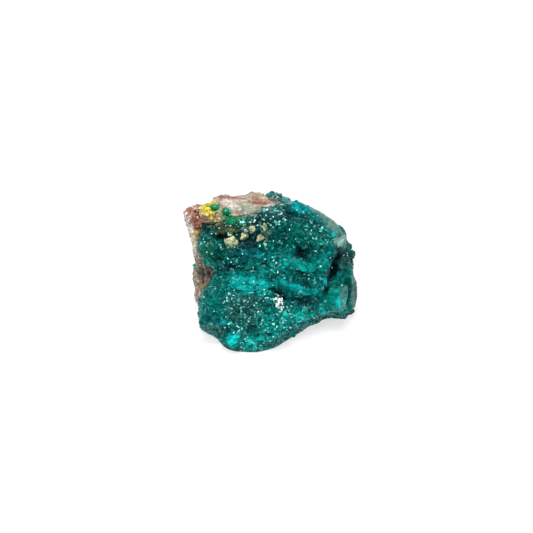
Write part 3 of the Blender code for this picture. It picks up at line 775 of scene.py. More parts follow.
SWELL = [  # where the crust stands out or in a little more; strength is how far
    ((0.8, 12.4), (1.2, 0.6), 0, 0.25),
    ((4.0, -10.3), (2.8, 0.8), 20, -0.25),
    ((13.2, 2.6), (1.0, 2.2), 0, 0.34),
    ((13.6, -3.6), (0.9, 2.2), 0, 0.30),
    ((10.6, 7.7), (3.2, 0.9), -42, 0.14),
    ((11.0, -7.3), (3.4, 0.9), 0, -0.42),
]


def near_base(points):
    return smooth_step(*BASE_CALM, points[:, 2])


def swollen(places, zones):
    return sum(strength * zone_weight(places, *zone) for *zone, strength in zones)


def lifted(mesh, points, normals, lift):
    """Moves a mesh's points out along their normals, but not below the floor."""
    points += normals * lift[:, None]
    points[:, 2] = np.maximum(points[:, 2], 0.0)
    set_points(mesh, points)


def make_mass():
    piece = remeshed_copy("dioptase_mass", SKIN_VOXEL, "dioptase_crust")
    mesh = piece.data
    points, normals = points_of(mesh), normals_of(mesh)
    places, base = to_face(points), near_base(points)
    bare = bare_share(places)
    wide_height, wide_tone, wide_middle = crystal_relief(points, *WIDE_CRYSTALS)
    small_height, small_tone, small_middle = crystal_relief(points, *SMALL_CRYSTALS)
    height = WIDE_HEIGHT * wide_height + SMALL_HEIGHT * small_height * (1.0 - bare)
    rough = (1.0 - BARE_FLAT * bare) * base
    lifted(mesh, points, normals, SKIN_LIFT + rough * height + swollen(places, SWELL) * base)
    tone = WIDE_TONE * wide_tone + SMALL_TONE * small_tone * (1.0 - BARE_FLAT * bare)
    tone = tone + MOTTLE_TONE * field(points, *SKIN_MOTTLE)
    gaps = np.clip(GAP_START - small_height, 0.0, GAP_MOST) * (1.0 - BARE_CLOSED * bare)
    edgewise = 1.0 - smooth_step(*RIM_SPAN, np.abs(normals @ TO_FACE[2]))
    middles = np.where((bare > 0.5)[:, None], wide_middle, small_middle)
    spots = (1.0 - OWN_COLOUR) * middles + OWN_COLOUR * points
    paint(mesh, crust_colours(spots, tone - GAP_SHADE * gaps - RIM_SHADE * edgewise))
    dull = strongest(places, DULL, field(places, *DULL_NOISE))
    mark_detail(mesh, (1.0 - BARE_DETAIL * bare) * (1.0 - dull))
    smooth_faces(mesh)
    return piece


# ---- small grown pieces: copies of one shape, joined ----
def joined_copies(name, shape, spots, frames, sizes, colours):
    """One mesh of many copies of a shape (points, faces). frames holds each copy's three axes, as rows."""
    local = shape[0][None, :, :] * sizes[:, None, :]
    corners = spots[:, None, :] + np.einsum("nij,njk->nik", local, frames)
    count, size = corners.shape[:2]
    offsets = np.arange(count)[:, None] * size
    index, lengths = [], []
    for sides in sorted({len(face) for face in shape[1]}):
        alike = np.array([face for face in shape[1] if len(face) == sides])
        index.append((offsets + alike.ravel()).ravel())
        lengths.append(np.full(count * len(alike), sides))
    index, lengths = np.concatenate(index), np.concatenate(lengths)
    mesh = bpy.data.meshes.new(name)
    mesh.vertices.add(count * size)
    mesh.loops.add(len(index))
    mesh.polygons.add(len(lengths))
    mesh.vertices.foreach_set("co", corners.astype(np.float32).ravel())
    mesh.loops.foreach_set("vertex_index", index.astype(np.int32))
    mesh.polygons.foreach_set("loop_start", (np.cumsum(lengths) - lengths).astype(np.int32))
    mesh.update(calc_edges=True)
    mesh.validate()
    paint(mesh, np.repeat(colours, size, axis=0))
    mesh.shade_flat()
    return new_object(name, mesh)


def scatter(mesh, count):
    """Places and normals spread evenly over a mesh."""
    points, triangles = points_of(mesh), triangles_of(mesh)
    a, b, c = (points[triangles[:, corner]] for corner in range(3))
    cross = np.cross(b - a, c - a)
    area = np.linalg.norm(cross, axis=1)
    picks = DRAWS.choice(len(area), size=count, p=area / area.sum())
    first, second = DRAWS.random((2, count))
    over = first + second > 1.0
    first[over], second[over] = 1.0 - first[over], 1.0 - second[over]
    spots = a[picks] + (b - a)[picks] * first[:, None] + (c - a)[picks] * second[:, None]
    return spots, unit(cross)[picks]


def turned_about(axes):
    """Three axes for each copy: the last as given, the others turned at random."""
    sideways = unit(np.cross(axes, DRAWS.normal(size=axes.shape)))
    return np.stack([sideways, np.cross(axes, sideways), axes], axis=1)


ROCK_CLEARANCE = 0.35
GRAIN_CLEARANCE = 0.15
BASE_CLEARANCE = 0.35


def clear_of(spots, rock_tree, grain_tree):
    return (distances(rock_tree, spots) > ROCK_CLEARANCE) & (distances(grain_tree, spots) > GRAIN_CLEARANCE)


SIDES = 6
RING = [(math.cos(math.tau * side / SIDES), math.sin(math.tau * side / SIDES)) for side in range(SIDES)]


def band(lower, upper):
    """Walls between two rings of corners, given by their first corners."""
    pairs = [(side, (side + 1) % SIDES) for side in range(SIDES)]
    return [(lower + side, lower + after, upper + after, upper + side) for side, after in pairs]


# ---- druse: small crystals grown out of the mass ----
TIP_SLOPE = 0.95
CRYSTAL_DEPTH = 2.4  # length of the prism below its tip, in radii
# how many are tried, smallest and largest radius, height of the tip's foot in radii, lean, pale share, frost
DRUSE = {
    "druse_coarse": (1800, (0.22, 0.42), (-0.80, -0.1), 0.9, 0.15, 0.0),
    "druse_middle": (9500, (0.12, 0.22), (-0.7, 0.15), 1.1, 0.50, 0.6),
    "druse_fine": (6500, (0.07, 0.12), (-0.3, 0.6), 1.2, 0.20, 0.6),
}
SIDE_FACING = (0.1, 0.6)  # how squarely the crust faces the front, from its sides to its broad face
SIDE_SPARSE = 0.72  # share of the crystals left out on its sides
SIDE_SMALL = 0.7  # how large those on its sides are, against the others
FLATTENED = (0.5, 1.4)  # widths of a crystal across its axis, in radii
LEAN_NOISE, LEAN_FIRST_SEED = 1.2, 11
LEAN_RANDOM, LEAN_SHARED = 0.5, 0.9  # how far it leans its own way, and the way its neighbours lean
LEAST_OUTWARD = 0.35  # least cosine between its axis and the crust's normal, before it is turned back
RADIUS_POWER = 1.6  # how much commoner the thin ones are
CRYSTAL_TONE, CRYSTAL_TONES = 0.32, (-0.9, 0.6)  # spread and ends of their tones
PALE_LEAST, PALE_MOST, PALE_FROSTED = 0.3, 0.6, 0.5


def crystal_shape():
    """Points and faces of a six-sided prism of radius 1 with a three-faced tip, its low corners at z = 0."""
    foot = [(x, y, -CRYSTAL_DEPTH) for x, y in RING]
    rim = [(x, y, TIP_SLOPE / 2 if side % 2 else 0.0) for side, (x, y) in enumerate(RING)]
    top = 2 * SIDES
    tips = [(SIDES + (side - 1) % SIDES, SIDES + side, SIDES + side + 1, top) for side in range(0, SIDES, 2)]
    bottom = tuple(reversed(range(SIDES)))
    return np.array(foot + rim + [(0.0, 0.0, TIP_SLOPE)]), band(0, SIDES) + tips + [bottom]


def druse_colours(spots, places, pale_share, most_frost):
    """The crust's own colours with a random tone, and a share of them pale where the crust glitters: pale
    crystals, partly painted glints.
    """
    count = len(spots)
    glitter = np.maximum(strongest(places, GLITTER), GLITTER_ELSEWHERE)
    glitter = glitter * smooth_step(*FRONT, places[:, 2]) * (1.0 - strongest(places, DULL))
    pale = DRAWS.random(count) < glitter * pale_share
    colours = crust_colours(spots, np.clip(DRAWS.normal(0.0, CRYSTAL_TONE, count), *CRYSTAL_TONES))
    whiteness = DRAWS.uniform(PALE_LEAST, PALE_MOST + PALE_FROSTED * most_frost, count)
    whiteness = np.where(pale, whiteness, 0.0)
    frost = most_frost * DRAWS.random(count) ** 2
    pale_colour = PALE_TEAL + (WHITE - PALE_TEAL) * frost[:, None]
    return colours + (pale_colour - colours) * whiteness[:, None]


def make_druse(name, ground, rock_tree, grain_tree):
    tries, radii, reaches, lean, pale_share, most_frost = DRUSE[name]
    spots, normals = scatter(ground, tries)
    places = to_face(spots)
    facing = smooth_step(*SIDE_FACING, normals @ TO_FACE[2])
    left_out = np.maximum(bare_share(places), SIDE_SPARSE * (1.0 - facing))
    kept = (DRAWS.random(tries) > left_out) & (spots[:, 2] > BASE_CLEARANCE)
    spots, normals, places, facing = chosen(kept, spots, normals, places, facing)
    clear = clear_of(spots, rock_tree, grain_tree)
    spots, normals, places, facing = chosen(clear, spots, normals, places, facing)
    count = len(spots)
    shared = [field(spots, LEAN_NOISE, LEAN_FIRST_SEED + axis, 1) for axis in range(3)]
    leaning = LEAN_RANDOM * DRAWS.normal(size=(count, 3)) + LEAN_SHARED * np.stack(shared, axis=1)
    axes = unit(normals + lean * leaning)
    outward = np.einsum("ij,ij->i", axes, normals)
    axes = unit(axes + normals * np.maximum(LEAST_OUTWARD - outward, 0.0)[:, None])
    frames = turned_about(axes)
    radius = radii[0] + (radii[1] - radii[0]) * DRAWS.random(count) ** RADIUS_POWER
    radius = radius * (SIDE_SMALL + (1.0 - SIDE_SMALL) * facing)
    feet = spots + axes * (radius * DRAWS.uniform(*reaches, count))[:, None]
    above = feet[:, 2] - radius * (1.0 + CRYSTAL_DEPTH) > 0.0
    spots, places, frames, radius, feet = chosen(above, spots, places, frames, radius, feet)
    widths = DRAWS.uniform(*FLATTENED, (len(spots), 2))
    sizes = radius[:, None] * np.column_stack([widths, np.ones(len(spots))])
    colours = druse_colours(spots, places, pale_share, most_frost)
    return joined_copies(name, crystal_shape(), feet, frames, sizes, colours)


# ---- glints: small cleaved faces that mirror a lamp, painted pale as glints: u and v, half length, half width, turn ----
GLINTS = [
    (-2.2, 8.3, 0.24, 0.22, 0), (-3.7, 6.8, 0.20, 0.12, 0), (-1.5, 7.7, 0.30, 0.10, 25),
    (-8.5, 6.2, 0.13, 0.13, 0), (-6.5, 6.0, 0.19, 0.19, 0), (-8.0, 7.0, 0.14, 0.12, 30),
    (-6.2, 7.4, 0.14, 0.14, 0), (-4.9, 7.2, 0.13, 0.10, 0), (-10.3, 4.8, 0.20, 0.12, 30),
    (-7.7, 3.9, 0.10, 0.22, 0), (-9.9, 3.2, 0.12, 0.12, 0), (-9.1, 2.9, 0.10, 0.10, 0),
    (-6.1, 1.6, 0.14, 0.14, 0), (-5.1, 1.0, 0.19, 0.12, -40), (-4.2, 2.9, 0.11, 0.19, 10),
    (-0.6, 2.1, 0.18, 0.16, 0), (-9.0, 0.9, 0.20, 0.12, 10), (0.3, 7.5, 0.19, 0.17, 0),
    (1.6, 8.1, 0.36, 0.10, 42), (2.6, 8.3, 0.12, 0.20, -10), (0.7, 8.8, 0.13, 0.15, 0),
    (0.9, 9.8, 0.18, 0.11, 0), (0.3, 8.5, 0.18, 0.10, 0), (3.3, 6.8, 0.11, 0.16, -10),
    (7.3, 7.3, 0.26, 0.14, 35), (6.0, 7.3, 0.24, 0.09, 0), (6.6, 8.1, 0.16, 0.09, -20),
    (1.4, 4.6, 0.13, 0.20, 20), (4.2, 5.3, 0.07, 0.18, 0), (7.0, 5.4, 0.10, 0.28, 5),
    (6.6, 6.1, 0.14, 0.10, 0), (9.4, 4.8, 0.26, 0.11, 55), (8.2, 6.5, 0.20, 0.09, 10),
    (7.4, 3.4, 0.30, 0.08, -8), (7.8, 9.1, 0.16, 0.11, -30), (5.5, 9.7, 0.16, 0.14, 0),
    (4.5, 10.0, 0.18, 0.10, 20), (0.7, 1.9, 0.16, 0.14, 20), (8.3, 0.9, 0.20, 0.15, 0),
    (9.9, 2.3, 0.20, 0.10, 35), (-6.6, 0.5, 0.16, 0.16, 0), (-4.9, 0.1, 0.19, 0.13, 30),
    (-7.9, -0.3, 0.10, 0.22, 0), (-5.7, -1.0, 0.18, 0.13, 10), (-4.1, -1.7, 0.18, 0.15, 0),
    (-2.5, -1.6, 0.12, 0.26, -15), (-2.1, -1.1, 0.20, 0.10, 30), (-5.9, -2.3, 0.19, 0.16, 20),
    (-0.8, -2.8, 0.18, 0.16, 0), (-0.7, -3.5, 0.22, 0.19, 0), (-0.9, -4.6, 0.15, 0.13, 0),
    (-6.4, -3.4, 0.14, 0.30, -20), (-6.7, -4.1, 0.16, 0.20, 30), (-5.6, -2.9, 0.24, 0.09, -45),
    (-2.7, -3.3, 0.15, 0.10, 30), (-8.6, -2.7, 0.24, 0.08, 45), (-10.4, -4.0, 0.16, 0.13, 0),
    (-7.3, -4.9, 0.10, 0.16, 0), (-6.0, -6.4, 0.12, 0.15, 0), (-4.0, -4.6, 0.30, 0.08, 35),
    (-1.7, -6.4, 0.20, 0.13, 30), (-1.2, -6.2, 0.12, 0.12, 0), (-6.4, -8.3, 0.24, 0.13, 15),
    (-5.1, -8.6, 0.20, 0.17, 0), (-4.8, -8.8, 0.20, 0.12, -30), (-4.3, -9.0, 0.16, 0.18, 0),
    (-4.8, -9.4, 0.19, 0.12, -30), (-5.7, -9.7, 0.14, 0.18, 0), (-7.0, -8.9, 0.17, 0.10, 0),
    (-9.1, -8.2, 0.10, 0.20, -20), (-10.2, -9.0, 0.22, 0.09, 30), (-1.3, -8.3, 0.22, 0.20, 0),
    (-3.5, -10.4, 0.16, 0.20, 0), (-4.8, -11.2, 0.22, 0.18, 20), (-4.4, -12.0, 0.18, 0.15, 0),
    (-2.7, -11.2, 0.22, 0.19, 0), (-2.4, -11.5, 0.16, 0.14, 0), (-2.2, -11.9, 0.19, 0.13, -35),
    (-1.2, -11.7, 0.17, 0.15, 0), (-0.2, -9.4, 0.10, 0.28, 15), (1.1, -3.7, 0.18, 0.28, 0),
    (1.2, -4.3, 0.20, 0.26, 0), (0.7, -4.3, 0.15, 0.12, 0), (0.4, 0.3, 0.18, 0.11, 0),
    (1.4, 0.0, 0.11, 0.24, -20), (2.5, -0.9, 0.18, 0.11, 35), (5.7, -0.4, 0.25, 0.08, 5),
    (6.4, -1.1, 0.15, 0.12, 0), (4.6, 0.6, 0.24, 0.14, -30), (8.5, -3.0, 0.09, 0.24, 10),
    (11.7, -2.2, 0.14, 0.14, 0), (9.1, -4.6, 0.10, 0.18, 0), (3.6, -5.4, 0.14, 0.14, 0),
    (5.6, -5.5, 0.16, 0.18, 20), (6.0, -5.7, 0.20, 0.11, 0), (4.0, -4.7, 0.19, 0.08, -40),
    (5.3, -6.2, 0.10, 0.20, 0), (3.3, -6.7, 0.26, 0.18, 20), (3.9, -6.9, 0.16, 0.20, 0),
    (5.0, -7.8, 0.15, 0.14, 0), (7.2, -7.4, 0.13, 0.15, 0), (6.9, -6.3, 0.22, 0.09, 15),
    (2.6, -7.8, 0.16, 0.12, 0), (1.2, -8.7, 0.11, 0.22, 0), (3.3, -8.9, 0.16, 0.15, 0),
    (0.7, -10.3, 0.15, 0.17, 0), (4.3, -8.4, 0.16, 0.09, 20), (0.2, -11.0, 0.15, 0.09, 30),
    (4.4, -9.3, 0.15, 0.08, 20),
]
CLUSTERS = [  # more glints: (u, v), half sizes, turn, how many, smallest and largest half size
    ((1.50, -4.75), (0.60, 1.30), 20, 26, (0.10, 0.22)),
    ((1.5, -4.5), (0.80, 1.30), 20, 18, (0.07, 0.15)),
    ((-0.1, -4.25), (0.6, 0.3), 0, 6, (0.09, 0.16)),
    ((2.2, -5.9), (1.3, 0.5), 0, 10, (0.08, 0.16)),
    ((-0.2, 8.6), (3.2, 1.5), 6, 18, (0.08, 0.20)),
    ((4.2, 6.4), (4.6, 2.4), 0, 8, (0.08, 0.18)),
    ((-4.0, -6.0), (3.6, 3.2), -20, 14, (0.09, 0.20)),
    ((3.0, -7.2), (4.6, 2.2), 20, 11, (0.09, 0.20)),
    ((-3.0, -11.6), (3.0, 1.2), 0, 10, (0.07, 0.18)),
    ((-5.6, 2.4), (4.6, 2.4), 0, 12, (0.07, 0.14)),
    ((-5.6, 6.6), (4.6, 1.6), 0, 10, (0.07, 0.14)),
    ((0.0, 0.0), (13.5, 11.5), 0, 10, (0.07, 0.16)),
    ((12.5, 2.8), (0.7, 0.9), 0, 5, (0.07, 0.13)),
]
# the nest's glints are painted whitest
NEST = ((1.5, -4.8), (0.8, 1.5), 20)  # where the glints are whitest: (u, v), half sizes, turn
STROKE, STROKE_WIDTHS = 1.25, (0.45, 0.95)  # a cluster's glint: half length and width, in its half size
WOBBLE = 0.10  # how far a chip's face strays from the mirror direction
NEST_STEADY = 0.6  # how much less it strays in the nest
NEST_WHITE = 0.8  # how much whiter the nest is
CHIP_RINGS = ((0.86, 0.0), (1.0, -0.22), (0.8, -2.2))  # radius and level of each ring of a chip's corners
CHIP_DEPTH = 1.2  # scale of those levels, in half widths
CHIP_PROUD = 0.10  # height of a chip's mirror face over the crust, in millimetres
MIRROR_TURN = 0.35  # least cosine between a mirror face and the crust, for chance to help choose its lamp
LAMP_CHANCE = 0.5  # how far chance, and not the nearest way, chooses that lamp
GLINT_SEED, BLOCK_SEED = 23, 19
GLINT_FACING = 0.2  # least cosine between the crust below a chip and the front
GLINT_BARE = 0.8  # share of a cluster's glints left out on a bare face


def chip_shape():
    """Points and faces of a six-sided chip with a flat bevelled top."""
    points = [(reach * x, reach * y, level) for reach, level in CHIP_RINGS for x, y in RING]
    walls = band(SIDES, 0) + band(2 * SIDES, SIDES)
    bottom = tuple(reversed(range(2 * SIDES, 3 * SIDES)))
    return np.array(points), walls + [tuple(range(SIDES)), bottom]


def glint_rows(draws):
    """The listed glints, then those of the clusters."""
    rows = list(GLINTS)
    for (u, v), half, turn, count, radii in CLUSTERS:
        for _ in range(count):
            reach, angle = math.sqrt(draws.random()), math.tau * draws.random()
            across, along = reach * math.cos(angle) * half[0], reach * math.sin(angle) * half[1]
            sizes = draws.uniform(*radii) * np.array((STROKE, draws.uniform(*STROKE_WIDTHS)))
            across, along = rotated(across, along, turn)
            rows.append((u + across, v + along, *sizes, 180 * draws.random()))
    return np.array(rows)


def mirror_axes(spots, normals, nested, draws):
    """Directions that mirror a lamp to the camera, each nearly the way that the crust faces there."""
    to_camera = unit(np.array(CAMERA_PLACE) / MM - spots)
    half_ways = np.stack([unit(unit(lamp - spots) + to_camera) for lamp in spark_places()], axis=1)
    matches = np.einsum("nlj,nj->nl", half_ways, normals)
    matches = np.where(matches > MIRROR_TURN, matches + LAMP_CHANCE * draws.random(matches.shape), matches)
    axes = half_ways[np.arange(len(spots)), matches.argmax(axis=1)]
    return unit(axes + WOBBLE * (1.0 - NEST_STEADY * nested) * draws.normal(size=axes.shape))


def make_glints(ground_tree, rock_tree, grain_tree):
    draws = np.random.default_rng(GLINT_SEED)
    spots, normals, rows = on_the_face(ground_tree, glint_rows(draws))
    places = to_face(spots)
    clear = (spots[:, 2] > BASE_CLEARANCE) & (normals @ TO_FACE[2] > GLINT_FACING)
    clear &= clear_of(spots, rock_tree, grain_tree)
    grown = draws.random(len(rows)) > GLINT_BARE * bare_share(places)
    clear &= grown | (np.arange(len(rows)) < len(GLINTS))
    spots, normals, places, rows = chosen(clear, spots, normals, places, rows)
    nested = zone_weight(places, *NEST)[:, None]
    axes = mirror_axes(spots, normals, nested, draws)
    rightwards = TO_FACE[0]
    flat = unit(rightwards[None] - axes * (axes @ rightwards)[:, None])
    other = np.cross(axes, flat)
    angle = np.radians(rows[:, 4])[:, None]
    length_ways = flat * np.cos(angle) + other * np.sin(angle)
    width_ways = other * np.cos(angle) - flat * np.sin(angle)
    frames = np.stack([length_ways, width_ways, axes], axis=1)
    sizes = np.column_stack([rows[:, 2], rows[:, 3], np.minimum(rows[:, 2], rows[:, 3]) * CHIP_DEPTH])
    # painted glints: the chips are painted pale teal to white, whitest in the nest, besides the lamp they
    # mirror
    frost = np.maximum(draws.random(len(spots))[:, None], nested)
    colours = PALE_TEAL * (1 - frost) + (WHITE + (1.0 - WHITE) * NEST_WHITE * nested) * frost
    return joined_copies("glints", chip_shape(), spots + normals * CHIP_PROUD, frames, sizes, colours)


# ---- larger crystals whose bright broken faces stand out ----
# Rows: colour, (u, v), half sizes (u, v, w), turn, lean to the right and up, height over the crust, corners
BLOCKS = {
    "corner_patch": (BRIGHT_CYAN * 0.95, (-5.9, -10.8), (0.85, 0.95, 0.8), 20, (-8, -6), 0.22, 6),
    "corner_patch_side": (BRIGHT_CYAN * 0.8, (-5.1, -11.3), (0.55, 0.75, 0.7), -30, (14, -12), 0.15, 5),
    "knee_blue": (CYAN * 0.85, (-7.1, -7.9), (0.55, 0.42, 0.6), 12, (4, 10), 0.18, 5),
    "block_left": (TURQUOISE * 1.1, (2.8, 1.8), (0.85, 0.75, 0.8), 10, (-6, 4), 0.14, 5),
    "block_middle": (TURQUOISE * 0.85, (5.0, 0.9), (1.35, 0.70, 0.9), -22, (4, -6), 0.14, 5),
    "block_right": (TURQUOISE * 0.65, (6.6, 0.6), (0.9, 0.6, 0.8), -16, (10, -4), 0.10, 5),
    "low_ledge_left": (CYAN * 0.70, (2.2, -1.6), (1.1, 0.45, 0.7), -34, (-4, 8), 0.14, 5),
    "low_ledge_middle": (CYAN * 0.70, (3.9, -2.5), (1.3, 0.55, 0.8), -26, (2, -6), 0.18, 5),
    "low_ledge_right": (CYAN * 0.56, (5.7, -3.2), (1.0, 0.42, 0.7), -16, (8, 4), 0.12, 5),
    "step": (TURQUOISE * 1.1, (7.9, -3.2), (0.62, 0.72, 0.7), 20, (-6, -4), 0.20, 5),
    "step_side": (GREY_TEAL * 1.1, (8.5, -2.6), (0.32, 0.60, 0.6), -20, (20, 6), 0.12, 5),
    "top_patch": (CYAN * 0.85, (4.6, 10.5), (0.95, 0.60, 0.8), -18, (0, 4), 0.04, 5),
    "top_patch_right": (CYAN * 0.75, (6.0, 9.8), (0.7, 0.50, 0.7), -40, (6, 4), 0.05, 5),
    # painted sheen on the flat cleaved facet
    "facet_sheen": (FACET_SHEEN * 0.95, (11.4, 4.75), (1.35, 0.58, 1.3), 43, (12, 4), 0.42, 5),
    # painted glow of light through the translucent corner, here and in the next two rows
    "glow": (BRIGHT_CYAN * 0.85, (11.6, -4.6), (0.42, 0.50, 0.8), 10, (0, 0), 0.06, 6),
    "low_glow": (BRIGHT_CYAN * 0.85, (8.4, -6.6), (0.9, 0.24, 0.6), 4, (0, 0), 0.04, 6),
    "upright_glow": (BRIGHT_CYAN * 0.9, (9.0, -6.0), (0.22, 0.60, 0.6), 0, (0, 10), 0.04, 5),
    "right_teal": (TURQUOISE * 0.7, (10.0, 6.2), (0.9, 0.40, 0.6), -30, (10, 4), 0.12, 5),
    # painted glow
    "plateau_glow": (TURQUOISE * 0.8, (9.0, 1.2), (0.6, 0.9, 0.7), -20, (6, -6), 0.06, 6),
    "plateau_low": (CYAN * 0.7, (8.9, -1.5), (0.40, 0.8, 0.6), 10, (10, 0), 0.10, 5),
    "ledge_left": (BRIGHT_CYAN * 0.8, (-4.6, -2.4), (0.9, 0.6, 0.7), 10, (-10, 6), 0.14, 5),
    "ledge_right": (TURQUOISE * 0.75, (-1.7, -1.3), (0.8, 0.45, 0.7), -14, (8, 8), 0.08, 6),
    "ledge_low": (BRIGHT_CYAN * 0.65, (-3.4, -2.9), (0.8, 0.5, 0.6), 20, (0, -8), 0.10, 5),
    "middle_teal": (MID_TEAL, (0.6, 1.6), (0.8, 0.8, 0.7), 30, (0, 8), 0.10, 6),
    "left_teal": (MID_TEAL * 0.8, (-9.0, -5.0), (0.7, 0.9, 0.8), 15, (-20, 0), 0.06, 6),
}
BLOCK_RINGS = ((1.0, 0.0), (1.28, -0.45), (0.9, -1.0))  # a block's widths and levels, against its half sizes
BLOCK_TURN, BLOCK_JITTER, BLOCK_DROP = 0.35, 0.24, 0.5  # how far corners stray: round, outwards, upwards
# painted shade: a block's faces are darker the further they turn from the crust's front
BLOCK_SIDE_SHADE, BLOCK_CHANCE = 0.9, 0.35  # how much darker its sides are than its top, and how far chance goes


def add_block(bm, draws, half, corners):
    for spread, level in BLOCK_RINGS:
        for corner in range(corners):
            angle = math.tau * (corner + BLOCK_TURN * draws.uniform(-1, 1)) / corners
            reach = spread * (1 + BLOCK_JITTER * draws.uniform(-1, 1))
            rise = level * (1 + BLOCK_DROP * draws.uniform(-1, 1))
            x, y = reach * math.cos(angle) * half[0], reach * math.sin(angle) * half[1]
            bm.verts.new((x, y, rise * half[2]))
    bmesh.ops.convex_hull(bm, input=bm.verts)
    loose = [vert for vert in bm.verts if not vert.link_faces]
    bmesh.ops.delete(bm, geom=loose, context="VERTS")


def make_blocks(ground_tree):
    draws = np.random.default_rng(BLOCK_SEED)
    whole = bmesh.new()
    tint = whole.loops.layers.float_color.new("tint")
    outward = FROM_FACE @ Vector((0, 0, 1))
    hits = on_the_face(ground_tree, [row[1] for row in BLOCKS.values()])[0]
    for hit, (colour, _, half, turn, lean, proud, corners) in zip(hits, BLOCKS.values()):
        bm = bmesh.new()
        add_block(bm, draws, half, corners)
        rightwards = Matrix.Rotation(math.radians(lean[0]), 4, "Y")
        rest = FROM_FACE.to_4x4() @ (rightwards @ Matrix.Rotation(math.radians(-lean[1]), 4, "X"))
        rest = rest @ Matrix.Rotation(math.radians(turn), 4, "Z")
        place = Matrix.Translation(Vector(hit) + outward * proud)
        bmesh.ops.transform(bm, matrix=place @ rest, verts=bm.verts)
        points = {vert: whole.verts.new(vert.co) for vert in bm.verts}
        for face in bm.faces:
            new_face = whole.faces.new([points[vert] for vert in face.verts])
            # painted shade on the faces turned away from the front, with a random part
            tone = BLOCK_SIDE_SHADE * (face.normal.dot(outward) - 1.0) + BLOCK_CHANCE * draws.uniform(-1, 1)
            for loop in new_face.loops:
                loop[tint] = (*np.clip(colour * (CRUST_LEVEL * math.exp(tone)), 0, BRIGHTEST), 1.0)
        bm.free()
    mesh = bpy.data.meshes.new("bright_blocks")
    whole.to_mesh(mesh)
    whole.free()
    mesh.shade_flat()
    return new_object("bright_blocks", mesh)


# ---- the host rock ----
CREAM = np.array((0.62, 0.53, 0.41))
TAN = np.array((0.42, 0.29, 0.21))
PINK = np.array((0.62, 0.41, 0.33))
GREY_BROWN = np.array((0.17, 0.15, 0.115))
RED_BROWN = np.array((0.33, 0.115, 0.075))
DARK_RED = np.array((0.17, 0.055, 0.038))
ROSE = np.array((0.48, 0.24, 0.19))
RUST = np.array((0.36, 0.17, 0.05))
MAUVE = np.array((0.27, 0.19, 0.19))
PALE = np.array((0.74, 0.70, 0.62))
YELLOW = np.array((0.74, 0.61, 0.035))
MUSTARD = np.array((0.42, 0.29, 0.05))
GREY_GREEN = np.array((0.10, 0.15, 0.09))
PALE_GREEN = np.array((0.33, 0.50, 0.36))
BAND_GREEN = np.array((0.38, 0.43, 0.34))
HALO_GREEN = np.array((0.22, 0.32, 0.12))
